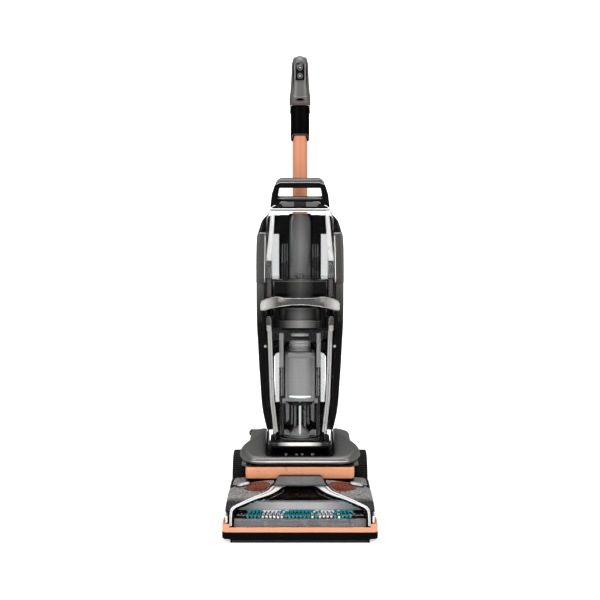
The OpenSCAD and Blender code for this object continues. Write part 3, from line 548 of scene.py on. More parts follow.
def shoulders():
    """Grained shoulders beside the nozzle, with a pit for each button, and the plates that run back beside the band."""
    rows = []
    for k in range(85):
        y = -61.5 - 126.5 * k / 84
        x0, x1 = arm_side(ARM_OUT, y) + 1.0, 168 - (2.5 if k == 0 else 0)
        top = []
        for i in range(53):
            x = x0 + (x1 - x0) * i / 52
            pit = 5.5 if ((x - BUTTON_X) / 17.6) ** 2 + ((y - BUTTON_Y) / 10.1) ** 2 < 1 else 0.0
            top.append((x, y, shoulder_height(x, y) - pit))
        rows.append(top + [(x, y, z - 3) for x, y, z in reversed(top)])
    piece("shoulder_shells", "textured_grey", "base", both(loft(rows)), hides=["shoulders"], angle=45, bevel=0.8)
    plates = []
    for y, drop in ((-61, 0), (-20, 0), (2, 0.4), (7, 2.5), (8.5, 6)):
        ring = [(128.6, y, 90), (128.8, y, 95.2 - drop), (150, y, 93.6 - drop), (161, y, 91.5 - drop),
                (165.5, y, 88 - drop),
                (166.8, y, 80), (164, y, 78), (163.4, y, 84)]
        plates.append(ring)
    piece("shoulder_plates", "textured_grey", "base", both(loft(plates)), angle=40, bevel=0.8)


def recess_marks():
    """Four small outline marks on the recess panel: a drop, a triangle, a ring and a bar."""
    def lay(outline, x, y):
        return [(x + u, y + v, 158.9 + (y + v + 46.7) * 0.124) for u, v in outline]

    circle = [(2.2 * cos(radians(a)), 4.4 * sin(radians(a))) for a in range(0, 360, 30)]
    drop = [(0, 6.5), (1.4, 2), (2.2, -1), (1.5, -4), (0, -5), (-1.5, -4), (-2.2, -1), (-1.4, 2)]
    wedge = [(0, 5), (2.6, -4), (-2.6, -4)]
    bar = [(-2.5, 3.6), (2.5, 3.6), (2.5, -3.6), (-2.5, -3.6)]
    parts = []
    drop, wedge, circle, bar = ([(u * 1.35, v * 1.35) for u, v in shape] for shape in (drop, wedge, circle, bar))
    for outline, x in ((drop, -33), (wedge, -8), (circle, 5), (bar, 30)):
        low = lay(outline, x, -35)
        high = lay([(u * 0.74, v * 0.74) for u, v in outline], x, -35)
        rings = [low, [(a, b, c + 0.35) for a, b, c in low], [(a, b, c + 0.35) for a, b, c in high], high, low]
        parts.append(loft(rings, caps=False))
    piece("recess_marks", "icon_ink", "base", parts)


def lenses():
    """Oval ribbed lenses beside the nozzle's arms, with a lattice of small studs."""
    rings = []
    centre, rx, ry, steps = (98, -91), 33, 24, 96
    for k, share in enumerate([1.0, 1.0, 0.985, 0.95, 0.9, 0.93] + [0.93 - 0.03 * i for i in range(1, 31)]):
        ring = []
        for a in turns(steps):
            x, y = centre[0] + rx * share * cos(a), centre[1] + ry * share * sin(a)
            x = max(x, arm_side(ARM_OUT, y) + 1.4)
            z = shoulder_height(x, y)
            if k == 0:
                z -= 3
            elif k in (2, 3):
                z += 1.3
            elif k >= 5:
                z += 0.6 + 1.2 * (1 - share ** 2) + 0.45 * sin(x * 2.1) * sin(y * 2.1)
            ring.append((x, y, z))
        rings.append(ring)
    piece("lens_ovals", "amber", "base", both(loft(rings)), hides=["amber_lenses"], angle=50)


def release_buttons():
    for side, body in ((-1, "left_latch"), (1, "right_latch")):
        rings = []
        for share, lift in ((1, 93.4), (1, 96.0), (0.97, 97.7), (0.88, 99.1), (0.7, 100.1), (0.4, 100.7),
                (0.05, 100.9)):
            ring = []
            for a in turns(36):
                x, y = BUTTON_X + 15.5 * share * cos(a), BUTTON_Y + 8 * share * sin(a)
                ring.append((x, y, lift + 1 - (x - BUTTON_X) * 0.2 + (y - BUTTON_Y) * 0.1))
            rings.append(ring)
        part = loft(rings)
        lip = tube([(BUTTON_X + 17.1 * cos(radians(t)), BUTTON_Y + 9.6 * sin(radians(t)),
                96.6 - 3.3 * cos(radians(t)) + 1.4 * sin(radians(t))) for t in range(0, 361, 10)], 1.1, 6)
        name = "left" if side < 0 else "right"
        piece(f"{name}_button_lip", "black_gloss", "base", [mirrored(lip) if side < 0 else lip])
        piece(f"{name}_release_oval", "silver", body, [mirrored(part) if side < 0 else part],
              hides=[f"{name}_release_button"], angle=40)


TOP_LINE = spline([(-203.6, 36), (-202.4, 48), (-198.5, 64), (-190, 73.5), (-178, 77), (-150, 81.7), (-130, 85),
        (-100, 89.2), (-72, 93)], 5)


def edge_at(y):
    """Half width of the clear cover at a place along the nozzle: narrow at the latch, bowed out to the corners."""
    return arm_side(ARM_IN, y) * 0.6 + arm_side(ARM_OUT, y) * 0.4


def nozzle_window():
    lines = []
    columns = 44
    for y, z in TOP_LINE:
        half = edge_at(y)
        lines.append([(half * (2 * i / columns - 1), y, z) for i in range(columns + 1)])
    piece("nozzle_window", "smoked", "nozzle", [loft(lines, caps=False, closed=False)], hides=["nozzle_cover"],
          solid=2.2, bevel=0, angle=60)
    ribs = []
    for k in range(9):
        y = -157 - 3.7 * k
        half = edge_at(y) - 5
        ribs.append(tube([(-half, y, along(TOP_LINE, y) - 2.9), (half, y, along(TOP_LINE, y) - 2.9)], 0.9, 8))
    # the ribs carry a painted sheen that darkens towards both sides
    piece("nozzle_ribs", "rib_fade", "nozzle", ribs)
    bands = []
    for keep, inset, back, drop in ((lambda y, z: -188 <= y <= -140, 2, 0, 4.2), (lambda y, z: z < 57, 5, 3.6, 0.6)):
        line = [(y, z) for y, z in TOP_LINE if keep(y, z)]
        bands.append(loft([[((edge_at(y) - inset) * (2 * i / 12 - 1), y + back, z - drop) for i in range(13)]
                for y, z in line], caps=False, closed=False))
    piece("smoke_bands", "smoke_band", "nozzle", bands, solid=0.8)
    seams = []
    for x in (-128, -92, -52, -12, 30, 72, 112):
        seams.append(tube([(x, y + 2.8, z - 0.6) for y, z in TOP_LINE if z < 56], 0.7, 6))
    for y, lift, share in ((-197.5, 61.0, 0.96), (-200.9, 47, 0.97)):
        half = edge_at(y) * share - 3
        seams.append(tube([(-half, y + 2.2, lift), (half, y + 2.2, lift)], 0.9, 8))
    piece("nozzle_seams", "mid_grey", "nozzle", seams)
    duct = []
    for k in range(6):
        y = -82 - 9 * k
        z = along(TOP_LINE, y) - 8
        half = 30 + 4 * k
        duct.append(tube([(-half, y, z), (-half + 5, y, z + 2.5), (half - 5, y, z + 2.5), (half, y, z)], 1.3, 8))
    for x in (-9, 9):
        duct.append(lathe([(0, 78), (4, 78), (4, 83), (2.8, 84), (0, 84)], "z", (x, -98), 20))
    piece("duct_throat", "black_satin", "nozzle", duct)
    edges = [tube([(x, y, along(TOP_LINE, y) - 3.4) for x,
            y in ((38, -88), (43.8, -105.7), (76, -142), (107, -187), (128, -199))], 0.7, 6)]
    piece("channel_edges", "mid_grey", "nozzle", both(*edges))
    floor_grid = []
    for y, z in [(-74, 82), (-100, 79.5), (-125, 76), (-154, 72.5)]:
        half = edge_at(y) - 6
        floor_grid.append([(-half, y, z), (-half * 0.4, y, z - 1.5), (half * 0.4, y, z - 1.5), (half, y, z)])
    piece("duct_floor", "black_deep", "nozzle", [loft(floor_grid, caps=False, closed=False)], solid=1.0)


def nozzle_arms():
    """Bright arms: a wide flat flare at the latch that narrows into two bright stripes with a dark groove between."""
    def share_in(k, near, far):
        return near + (far - near) * min(1.0, k / (len(ARM_IN) * 0.42))

    def tapered(near, far, hi, lift, drop=2.6):
        rings = []
        for k, ((xa, ya), (xb, yb)) in enumerate(zip(ARM_IN, ARM_OUT)):
            lo = share_in(k, near, far)
            row = []
            for share, up in ((lo, -drop), (lo, lift * 0.6), (lo + (hi - lo) * 0.3, lift), (hi - (hi - lo) * 0.3, lift),
                    (hi, lift * 0.6), (hi, -drop)):
                x, y = xa + (xb - xa) * share, max(ya + (yb - ya) * share, -204.4 if up > 0 else -202)
                row.append((x, y, along(TOP_LINE, y) + up))
            rings.append(row)
        return loft(rings)
    # the arms' white carries a little glow as painted light
    piece("arm_edges", "arm_white", "nozzle", both(tapered(0.02, 0.46, 0.68, 3.2), tapered(0.78, 0.8, 0.99, 2.8)),
          hides=["nozzle_arms"], angle=50)
    piece("arm_grooves", "black_gloss", "nozzle", both(tapered(0.0, 0.36, 1.0, 1.2)), angle=50)
    moulded("latch_plate", "nozzle_latch", "latch_dark", "nozzle", voxel=0.9, rounds=6)


def tufts(name, y0, body):
    """Rows of bristle tufts on a roll: thin stems painted black as shade between the rows, with fat ends that glow as
    painted light, teal and white in groups across the width.
    """
    groups = {"teal": [], "white_nylon": [], "black_satin": []}
    pitch, rows = 8.6, 12
    for row in range(rows):
        turn0 = 2 * pi * (row + 0.3) / rows
        for k in range(28):
            x = -118.3 + pitch * k + (pitch / 2 if row % 2 else 0)
            far = abs(x)
            if far > 119:
                continue
            mixed_in = (far < 46 and (k + row // 2) % 2) or (far > 76 and k % 2)
            look = "teal" if far > 92 or far < 26 or mixed_in else "white_nylon"
            turn = turn0 + random.uniform(-0.04, 0.04)
            # the stems are black as painted shade; the ends take their glowing colour as painted light
            for group, sections in (("black_satin", ((11.5, 0.7), (25.4, 0.9))),
                    (look, ((25.2, 1.5), (26.4, 2.5), (28.2, 2.9), (29.4, 2.2)))):
                rings = []
                for reach, width in sections:
                    ring = []
                    for s in range(7):
                        u, v = width * cos(2 * pi * s / 7), width * sin(2 * pi * s / 7)
                        t = turn + v / reach
                        ring.append((x + u, y0 + reach * sin(t), ROLL_Z + reach * cos(t)))
                    rings.append(ring)
                groups[group].append(loft(rings))
    for look, parts in groups.items():
        piece(f"{name}_{look}_tufts", look, body, parts, hides=[f"{name}_bristles"] if look == "teal" else (), angle=50)


def wheels():
    """Ribbed tyres and hubs with a cap, one set on each side."""
    for side, body in ((-1, "left"), (1, "right")):
        steps = 288
        rings = []
        for s in range(steps):
            a = 2 * pi * s / steps
            tread = 1.6 if s % 4 in (1, 2) else 0.0
            ring = []
            for r, x in ((58, 133), (64.5, 133), (66.6 - tread, 134.2), (67.9 - tread, 137), (67.9 - tread, 162),
                    (66.4 - tread, 165), (64, 166), (58, 166)):
                ring.append((side * x, AXLE[0] + r * cos(a), AXLE[1] + r * sin(a)))
            rings.append(ring)
        rings.append(rings[0])
        piece(f"{body}_tread", "rubber", f"{body}_wheel_set", [loft(rings, caps=False)], hides=[f"{body}_tyre"],
              angle=28)
        rim = lathe([(s_r, side * s_x) for s_r, s_x in ((57.9, 134), (57.9, 161), (55, 164.5), (52, 164.5), (50, 158.3),
                (49, 158.3), (49, 134))] + [(57.9, side * 134)], "x", AXLE, 72)
        cap = lathe([(0, side * 164), (6, side * 166.2), (11, side * 166.2), (14, side * 165), (14, side * 158),
                (0, side * 158)],
                "x", AXLE, 40)
        piece(f"{body}_rim", "dark_grey", f"{body}_wheel_set", [rim, cap], angle=40)


def foot_details():
    """Copper band with its gasket, ledges under the hood, the squeegee's line and the bumper's screws."""
    rings = []
    for z, g in ((106.6, -3.4), (107.2, -1.2), (109, -0.2), (120, 0.5), (131, 0), (134, -0.8), (135, -2.6)):
        path = [(x, y) for x, y in rounded_plan(128.4 + g, -58 - g, 80, 11, 10) if y <= 28]
        path.sort(key=lambda p: atan2(p[1] - 20, p[0]))
        inner = [(x * 0.985, y + 2.0) for x, y in reversed(path)]
        rings.append([(x, y, z) for x, y in path + inner])
    piece("copper_band_shell", "copper", "base", [loft(rings)], hides=["copper_band"], angle=50)
    line = [(x, y, 137.6) for x, y in rounded_plan(126.4, -57, 60, 12, 8) if y < 25]
    line.sort(key=lambda p: atan2(p[1] - 20, p[0]))
    piece("band_gasket", "black_gloss", "base", [tube(line, 1.7, 8)])
    ledges = prism([(127, 129), (139, 132), (139, 137), (128, 139.5)], "y", -30, 20)
    # the low ledges take the light end of the hood's painted lip highlight
    piece("hood_ledges", "hood_metal", "base", both(ledges), bevel=1.2)
    lip = tube([(-152, -205, 4.5), (152, -205, 4.5)], 0.9, 8)
    piece("squeegee_line", "dark_grey", "base", [lip])
    heads = [screw(x, -206.0 + 1.6, 16, "-y", 2.4) for x in (-120, -40, 40, 120)]
    piece("bumper_screws", "black_satin", "base", heads)


# ---------- upright body ----------

RAIL_IN = spline([(66, 214), (68.5, 245), (74, 293), (79.3, 459), (82.6, 569), (79.6, 716), (78.6, 724)], 8)
RAIL_OUT = spline([(79, 214), (83.8, 233), (88.3, 255), (92, 284), (95.2, 335), (97.6, 371), (100, 421), (102.8, 486),
        (102.8, 620), (100.9, 672), (96.5, 691), (89.5, 712), (79.6, 724)], 6)


def side_at(line, z):
    return along([(h, x) for x, h in line], z)


def rail_piece(name, look, z0, z1, steps, grow=0.0, hides=()):
    """Hollow-looking side rail between two heights, with a rounded nose towards the front."""
    rings = []
    for k in range(steps + 1):
        z = z0 + (z1 - z0) * k / steps
        xi, xo = side_at(RAIL_IN, z) + 0.1, side_at(RAIL_OUT, z) + grow
        r = min(7.0, (xo - xi) * 0.48)
        ring = [(xi, 104.6, z), (xi, -12 + r * 0.6, z), (xi + r * 0.25, -12 - grow + r * 0.12, z),
                (xi + r * 0.6, -12 - grow, z),
                (xo - r, -12 - grow, z)]
        for a in range(15, 91, 15):
            turn = radians(a)
            ring.append((xo - r + r * sin(turn), -12 - grow + r - r * cos(turn), z))
        ring += [(xo, 40, z), (xo, 98, z), (xo - min(6, r), 104.6, z)]
        rings.append(ring)
    piece(name, look, "upright", both(loft(rings)), hides=hides, angle=40, bevel=0.8)


def rails():
    # the lower rails carry a painted sheen, grey near the top and black towards the bottom
    rail_piece("rail_lower", "rail_fade", 214, 565.4, 60, hides=["side_rails"])
    rail_piece("rail_upper", "black_gloss", 684.6, 723.6, 24)
    rail_piece("rail_panel", "panel_grey", 566.2, 683.6, 24, grow=0.6, hides=["side_panels"])
    # painted highlights: bright lines along the panel's top edge and up its inner edge
    z = 684.0
    xi, xo = side_at(RAIL_IN, z), side_at(RAIL_OUT, z) + 0.8
    across = [(xi, -12.2, z), (xo - 7, -12.9, z), (xo - 1.4, -7, z), (xo - 0.2, 10, z), (xo - 0.2, 104, z)]
    upward = [(side_at(RAIL_IN, z) + 0.8, -12.9, z) for z in range(568, 684, 10)]
    edges = [tube(across, 0.8, 8), tube(upward, 0.7, 8)]
    piece("rail_edge_highlights", "bright", "upright", both(*edges))
    clips = [lathe([(0, -14.2), (2.6, -14.2), (3.2, -13.4), (3.2, -11), (0, -11)], "y", (82, 416), 20)]
    piece("rail_clips", "bright", "upright", both(*clips))


def spine():
    """Metallic column between the windows behind the clean tank, with a rounded top, fine joint lines and a painted
    sheen down its middle.
    """
    def plan(hw):
        return [(hw * sin(radians(a)), 46 - 5.5 * cos(radians(a))) for a in range(-90, 91, 10)] + [(hw, 49.5),
                (-hw, 49.5)]
    rings = []
    for z, share in [(579, 1), (599, 1), (599.4, 0.985), (600.2, 0.985), (600.6, 1), (609, 1), (609.4, 0.985),
            (610.2, 0.985),
            (610.6, 1), (700, 1), (712, 0.97), (720, 0.88), (725, 0.72), (727.5, 0.5)]:
        rings.append([(x * share, y, z) for x, y in plan(25.6)])
    piece("spine_cover", "spine_fade", "upright", [loft(rings)], angle=40)
    grooves = [tube([(x, 49.6, 574), (x, 49.6, 655)], 1.6, 8) for x in (31, 37, 43)]
    piece("spine_grooves", "dark_grey", "upright", both(*grooves))
    frames = [tube([(x, 49.8, z) for x, z in line], 0.9, 6) for line in (
        [(49.6, 570.1), (67.8, 570.1), (67.8, 679.4), (49.6, 679.4), (49.6, 570.1)],
        [(49.6, 269), (61, 269), (63.6, 330), (63.6, 381), (59, 389.5), (49.6, 392), (49.6, 269)])]
    piece("window_rims", "black_gloss", "upright", both(*frames))
    panes = []
    for x0, x1, z0, z1 in ((50, 67.5, 570.7, 678.8), (50, 60.8, 269.4, 391.6)):
        ridge = [(x0 + (x1 - x0) * k / 12, 53 - (0.5 if k % 2 else 0)) for k in range(13)]
        outline = ridge + [(x, 54.2) for x, y in reversed(ridge)]
        panes.append(loft([[(x, y, z) for x, y in outline] for z in (z0, z1)]))
    piece("window_panes", "pane", "upright", both(*panes))


def collar():
    levels = [(535.3, -3), (536.5, -0.8), (539, 0), (557, 0.35), (571, 0), (575, -0.8), (576.7, -3)]
    ring = stack(levels, 72, -47, 49, 16, swell=1)
    # the collar carries a painted sheen in the middle of its front
    piece("collar_band", "collar_fade", "upright", [ring], hides=["mid_collar"], angle=60)


def lower_body():
    moulded("yoke_shell", "yoke", "black_satin", "upright", voxel=1.8, rounds=5)
    moulded("housing_shell", "motor_housing", "black_satin", "upright", voxel=1.8, rounds=5)
    vents = []
    for row in range(11):
        z = 290 + 7.5 * row
        vents.append(prism([(150.2, z), (151.8, z + 0.6), (151.8, z + 2.6), (150.2, z + 3.2)], "x", -32, 32))
    piece("vent_louvres", "black_gloss", "upright", vents, bevel=0.4)
    rim = lathe([(16.3, 165), (16.3, 169.4), (18, 170.2), (20.6, 169.6), (20.6, 165)] + [(16.3, 165)], "y", (0, 392),
            48)
    piece("port_rim", "dark_grey", "upright", [rim])
    heads = [screw(x, 150.4, z, "y") for x in (-40, 40) for z in (232, 368, 500)]
    piece("housing_screws", "steel", "upright", heads)
    seam = [tube([(x, 100, 220), (x, 100, 511)], 0.7, 6) for x in (-48.3, 48.3)]
    piece("housing_seam", "black_gloss", "upright", seam)
    ribs = [lathe([(5.6, 156 + 2.4 * k), (7.1, 156.4 + 2.4 * k), (7.1, 157.6 + 2.4 * k), (5.6, 158 + 2.4 * k),
            (5.6, 156 + 2.4 * k)],
            "y", (0, 460), 24) for k in range(4)]
    piece("gland_ribs", "rubber", "upright", ribs)


def chrome_lip():
    """Chrome bar under the recovery tank, on a dark base, painted with a glowing highlight in its middle that fades to
    painted shade at its ends.
    """
    rings = []
    path = [(x, y) for x, y in rounded_plan(73.4, -49, 60, 16.5, 10) if y < -16]
    path.sort(key=lambda p: p[0] if p[1] < -40 else p[0] * 1.001)
    for x, y in path:
        n = Vector((x * 0.25, y + 20)).normalized()
        ring = []
        for u, z in ((0, 183.4), (0.8, 184.2), (1.2, 187.5), (0.8, 190.4), (0, 191.3), (-2.4, 191.3), (-2.4, 183.4)):
            ring.append((x + n.x * (u - 0.5), y + n.y * (u - 0.5), z))
        rings.append(ring)
    piece("chrome_lip", "lip_chrome", "upright", [loft(rings)], hides=["chrome_bar"], angle=50)
    under = column([(179.7, -1.2), (180.6, 0), (183.6, 0)], lambda g: rounded_plan(73 + g, -48.6 - g, 20, 16, 8))
    piece("lip_base", "black_gloss", "upright", [under], angle=50)


# ---------- pole and handle ----------

def pole():
    body = lathe([(16.4, 560.4), (18.1, 560.4), (18.3, 566), (18.3, 983), (16.4, 983), (16.4, 560.4)], "z",
            (0, POLE_Y), 72)
    # the pole's copper glows as painted light
    piece("pole_tube", "copper_tube", "upright", [body], hides=["pole"])
    rings = []
    for z, r, ears in ((900, 0.0, 13), (901.5, 0.6, 13), (904, 0.9, 11), (918, 1.0, 0), (960, 1.0, 0), (984, 1.0, 0)):
        ring = []
        for a in turns(64):
            reach = 18.5 + 4.1 * min(1, r)
            drop = ears * min(1.0, max(0.0, (0.88 - abs(cos(a))) / 0.16))
            ring.append((reach * cos(a), POLE_Y + reach * sin(a), z + drop))
        rings.append(ring)
    inner = [[(18.4 * cos(a), POLE_Y + 18.4 * sin(a), z) for a in turns(64)] for z in (984, 920)]
    piece("sleeve", "black_deep", "upright", [loft(rings + inner + [rings[0]], caps=False)], hides=["pole_sleeve"],
          angle=40)
    hem = []
    for s in range(97):
        a = 2 * pi * s / 96
        hem.append((22.9 * cos(a), POLE_Y + 22.9 * sin(a),
                904.4 + 12 * min(1.0, max(0.0, (0.88 - abs(cos(a))) / 0.16))))
    piece("sleeve_hem", "mid_grey", "upright", [tube(hem, 0.55, 6)])


COVER_EDGE = spline([(24.6, 985), (24.8, 994), (23.6, 1012), (21.8, 1035), (20.4, 1060), (20, 1076), (18.6, 1086),
        (15.4, 1093.6), (10.2, 1098.2), (3, 1100)], 5)


def handle():
    """Grey capsule over the loop's front limb, with its button panel, rims and lower lips."""
    rings = []
    for x_half, z in COVER_EDGE:
        share = max(0.0, (z - 1084) / 16)
        front = 41 + 9 * share ** 2 + max(0.0, (1004 - z) / 19) ** 2 * 5
        depth = 25 if z < 1090 else 30
        ring = []
        for k in range(25):
            a = radians(-90 + 180 * k / 24)
            ring.append((x_half * copysign(abs(sin(a)) ** 0.8, a), front + depth * (1 - cos(a) ** 0.8), z))
        rings.append(ring)
    rings.append([(x * 0.5, y, 1100) for x, y, z in rings[-1]])
    piece("handle_shell", "graphite_soft", "upright", [loft(rings, caps=True)], hides=["handle_cover"], angle=60)
    crest = []
    for y, z in ((52, 1094.5), (60, 1098.6), (70, 1099.6), (84, 1098.8), (95, 1096.5)):
        crest.append([(15.5 * sin(radians(a)), y, z - 3.2 * (1 - cos(radians(a)))) for a in range(-90, 91, 15)])
    piece("handle_crest", "graphite_soft", "upright", [loft(crest)], angle=60)
    moulded("grip_loop", "handle_core", "black_satin", "upright", voxel=1.1, rounds=6)
    plate = rounded_plan(11.2, 1041.4, 1082.6, 4.5, 6)
    panel = loft([[(x, 41.5, z) for x, z in plate], [(x, 40.2, z) for x, z in plate],
            [(x * 0.93, 39.8, 1062 + (z - 1062) * 0.96) for x, z in plate]])
    piece("control_plate", "black_gloss", "upright", [panel], hides=["button_panel"], angle=40)
    rim = [(x * 1.06, 40.4, 1062 + (z - 1062) * 1.03) for x, z in plate]
    piece("plate_rim", "graphite", "upright", [tube(rim + rim[:1], 0.7, 8)])
    for name, z in (("upper", 1071), ("lower", 1052)):
        cap = lathe([(0, 38.9), (3.2, 38.9), (4.1, 39.4), (4.3, 40.6), (4.3, 43), (0, 43)], "y", (0, z), 32)
        piece(f"{name}_cap", "dark_grey", f"{name}_key", [cap], hides=[f"{name}_button"])
        ring = lathe([(5.0, 39.9), (5.0, 39.2), (5.6, 39.0), (6.4, 39.2), (6.4, 39.9), (5.0, 39.9)], "y", (0, z), 40)
        piece(f"{name}_ring", "mid_grey", "upright", [ring])
    mark = prism([(0, 1073.2), (1.9, 1069.9), (-1.9, 1069.9)], "y", 38.6, 39.0)
    piece("upper_mark", "icon_ink", "upper_key", [mark])
    mark = lathe([(1.1, 38.95), (1.1, 38.6), (1.9, 38.6), (1.9, 38.95), (1.1, 38.95)], "y", (0, 1052), 24)
    piece("lower_mark", "icon_ink", "lower_key", [mark])
    lips = []
    for low, sag, reach, thick in ((1001.5, 4.0, 16.5, 1.5), (990.5, 4.5, 23.6, 0.7)):
        path = []
        for k in range(19):
            x = reach * (-1 + 2 * k / 18)
            front = 41 + 25 * (1 - sqrt(max(0, 1 - (x / 26) ** 2)) ** 0.8)
            path.append((x, front - 0.4 + max(0, 1004 - low) * 0.1, low + sag * (x / reach) ** 2))
        lips.append(tube(path, thick, 10))
    piece("cover_lips", "graphite_light", "upright", lips)
    slot = []
    for k in range(13):
        x = -12.5 + 25 * k / 12
        front = 41 + 25 * (1 - sqrt(1 - (x / 26) ** 2) ** 0.8)
        top, low = 1000.5 + 3.4 * (x / 16) ** 2, 994.5 + 3 * (x / 16) ** 2
        slot.append([(x, front + 0.2, low), (x, front + 0.2, top), (x, front + 2.4, top), (x, front + 2.4, low)])
    piece("cover_slot", "black_deep", "upright", [loft(slot)])
    flange = []
    for z, x in ((966, 23.2), (985, 24.2), (1000, 24.4), (1012, 23.4)):
        flange.append([(x - 0.8, 56, z), (x + 0.7, 58, z), (x + 0.7, 78, z), (x - 0.8, 80, z)])
    piece("cover_flanges", "graphite", "upright", both(loft(flange)), bevel=0.4)


# ---------- clean water tank ----------

def clean_half(z):
    return along([(569.6, 82), (620, 81.1), (660, 80.2), (700, 79.4), (716, 79), (724, 76.6), (732, 73.2), (738, 70.4),
            (741.5, 69)], z)


def clean_tank():
    levels = [578.8, 580.2, 583, 600, 630, 660, 690, 708, 716, 724, 731, 737, 740, 741.4]
    rings = []
    for z in levels:
        hw = clean_half(z) - (1.6 if z < 579 else 0.5 if z < 581 else 0)
        ring = []
        for x, y in rounded_plan(hw, -48, 44, 15, 7):
            limit = 77.6
            if y > -10 and abs(x) > limit:
                x = copysign(limit, x)
            ring.append((x, y, z))
        rings.append(ring)
    piece("clean_shell", "clear", CLEAN, [loft(rings)], hides=["clean_tank"], solid=2.2, angle=50)
    for name, look, z0, z1 in (("clean_sides", "haze", 621.5, 741), ("clean_clips", "veil", 580.5, 620.5)):
        rows = []
        for k in range(12):
            z = z0 + (z1 - z0) * k / 11
            xo = min(clean_half(z) - 2.4, along([(578, 79), (621, 78.6), (742, 66.5)], z))
            xi = along([(578, 68), (621, 66), (742, 58.5)], z)
            rows.append([(xi, -45, z), (xi + 1, -45.6, z), (xo - 6, -45.2, z), (xo - 1.5, -42, z), (xo, -36, z),
                    (xo - 1, -34, z),
                    (xo - 3, -40, z), (xi, -43.6, z)])
        piece(name, look, CLEAN, both(loft(rows)), angle=60)
    seam = tube([(along([(578, 68), (621, 66), (742, 58.5)], z) - 0.4, -45.8, z) for z in (581, 600, 621, 680, 740)],
            0.5, 6)
    piece("side_seams", "silver", CLEAN, both(seam))
    # painted highlights: two glowing white tubes along the clear rim
    rim = [(x, y, 738.6 - 1.6 * max(0.0, 1 - (x / 40) ** 2) * (1 if y < -30 else 0)) for x,
           y in rounded_plan(69.6, -47.4, 43, 15, 7)]
    piece("tank_rim_highlights", "white_nylon", CLEAN,
          [tube([(x, y, z + d) for x, y, z in rim + rim[:1]], 0.8, 8) for d in (-2.6, 2.6)])
    piece("tank_gasket", "black_gloss", CLEAN, [tube([(x * 0.99, y * 0.99, z) for x, y, z in rim + rim[:1]], 1.5, 8)])
    skirts = [loft([[(66.5, -49.3, z), (76, -48.4, z), (77, -44, z), (77, 28, z), (74.9, 28, z), (74.9, -44, z),
            (66.5, -48.3, z)]
            for z in (537, 545, 550, 565, 578.4)])]
    piece("tank_skirts", "veil", CLEAN, both(*skirts), bevel=0.4)


def tank_top():
    """Lid with its grained frosted slopes, and the dark socket between them."""
    rings = []
    for z, hw, grow in ((736, 62.5, 0), (741.9, 63, 0), (742.2, 66, 0), (745.5, 64, 0), (750, 52, -4), (753.5, 47, -8),
            (756.6, 44, -12)):
        rings.append([(x, y, z) for x, y in rounded_plan(hw, -41 - grow * 0.6, 37 + grow * 0.6, 9, 6)])
    piece("lid_shell", "black_satin", CLEAN, [loft(rings)], hides=["clean_tank_lid"], angle=30)
    rows = []
    for z, xo in ((746.4, 39), (751, 42.5), (757.4, 46.5)):
        rows.append([(14, -42.6, z), (xo, -42.6, z), (xo, -38, z), (14, -38, z)])
    piece("lid_slopes", "lid_grain", CLEAN, both(loft(rows)), bevel=0.5)
    mid = loft([[(x, y, z) for x, y in rounded_plan(31, -38 + (z - 745) * 0.4, 10, 4, 4)] for z in (746, 757, 757.6)])
    piece("lid_socket", "black_gloss", CLEAN, [mid], bevel=0.5)


def carry_handle():
    moulded("handle_bridge", "carry_handle", "black_gloss", CLEAN, voxel=1.0, rounds=6)
    strip = []
    for k in range(41):
        x = -57 + 114 * k / 40
        top = 812.9 if abs(x) < 43 else 812.9 - (abs(x) - 43) ** 2 * 0.055
        low = 801.5 + 0.6 * cos(x / 60)
        if abs(x) > 46:
            low = max(low - (abs(x) - 46) * 0.5, top - 9)
        strip.append([(x, -13.9, low), (x, -14.3, low + 2), (x, -13.9, top - 3), (x, -11, top), (x, 11, top),
                (x, 13.9, top - 3),
                (x, 13.9, low), (x, 12, low), (x, -12, low)])
    piece("handle_top", "graphite", CLEAN, [loft(strip)], angle=50)
    # painted highlight: a bright line under the handle's top bar
    line = [(-57 + 114 * k / 40, -14.4, 801.4 + 0.6 * cos((-57 + 114 * k / 40) / 60)
            - (max(0, abs(-57 + 114 * k / 40) - 46)) * 0.4) for k in range(41)]
    piece("handle_highlight_line", "bright", CLEAN, [tube(line, 0.6, 8)])
    bar = []
    for k in range(31):
        x = -52 + 104 * k / 30
        half = 4.6 * sqrt(max(0.02, 1 - (x / 54) ** 2))
        bar.append([(x, -12.5, 764.6 - half), (x, -14.6, 764.6), (x, -12.5, 764.6 + half), (x, 12.5, 764.6 + half),
                (x, 14.6, 764.6), (x, 12.5, 764.6 - half)])
    piece("handle_sill", "graphite_light", CLEAN, [loft(bar)], angle=25, bevel=0.6)


# ---------- recovery tank ----------

def recovery_half(z):
    return along([(192, 61), (200, 62.6), (221, 65.4), (245, 67.9), (293, 73.3), (340, 74.9), (400, 76.9),
            (459, 78.7)], z)


def recovery_tank():
    levels = [192.2, 193.4, 196.5, 208, 221, 245, 270, 293, 330, 370, 410, 440, 452, 458.8]
    shrink = {192.2: 3.2, 193.4: 1.2, 196.5: 0.2}
    rings = [[(x, y, z) for x,
            y in rounded_plan(recovery_half(z) - shrink.get(z, 0), -50 + shrink.get(z, 0), 46, 17, 8)]
            for z in levels]
    piece("recovery_shell", "clear", DIRTY, [loft(rings)], hides=["recovery_tank"], solid=2.2, angle=50)
    rows = []
    for k in range(30):
        z = 217 + 240 * k / 29
        xo = recovery_half(z) - 2.6
        xi = xo - 10
        rows.append([(xi, -46.8, z), (xo - 6, -46.2, z), (xo - 1.6, -43, z), (xo, -35, z), (xo - 1, -33, z),
                (xo - 3.2, -41, z),
                (xi, -45, z)])
    piece("recovery_sides", "strip", DIRTY, both(loft(rows)), angle=60)
    seam = tube([(recovery_half(z) - 8, -47.2, z) for z in (218, 260, 300, 340, 400, 456)], 0.5, 6)
    piece("recovery_seams", "mid_grey", DIRTY, both(seam))


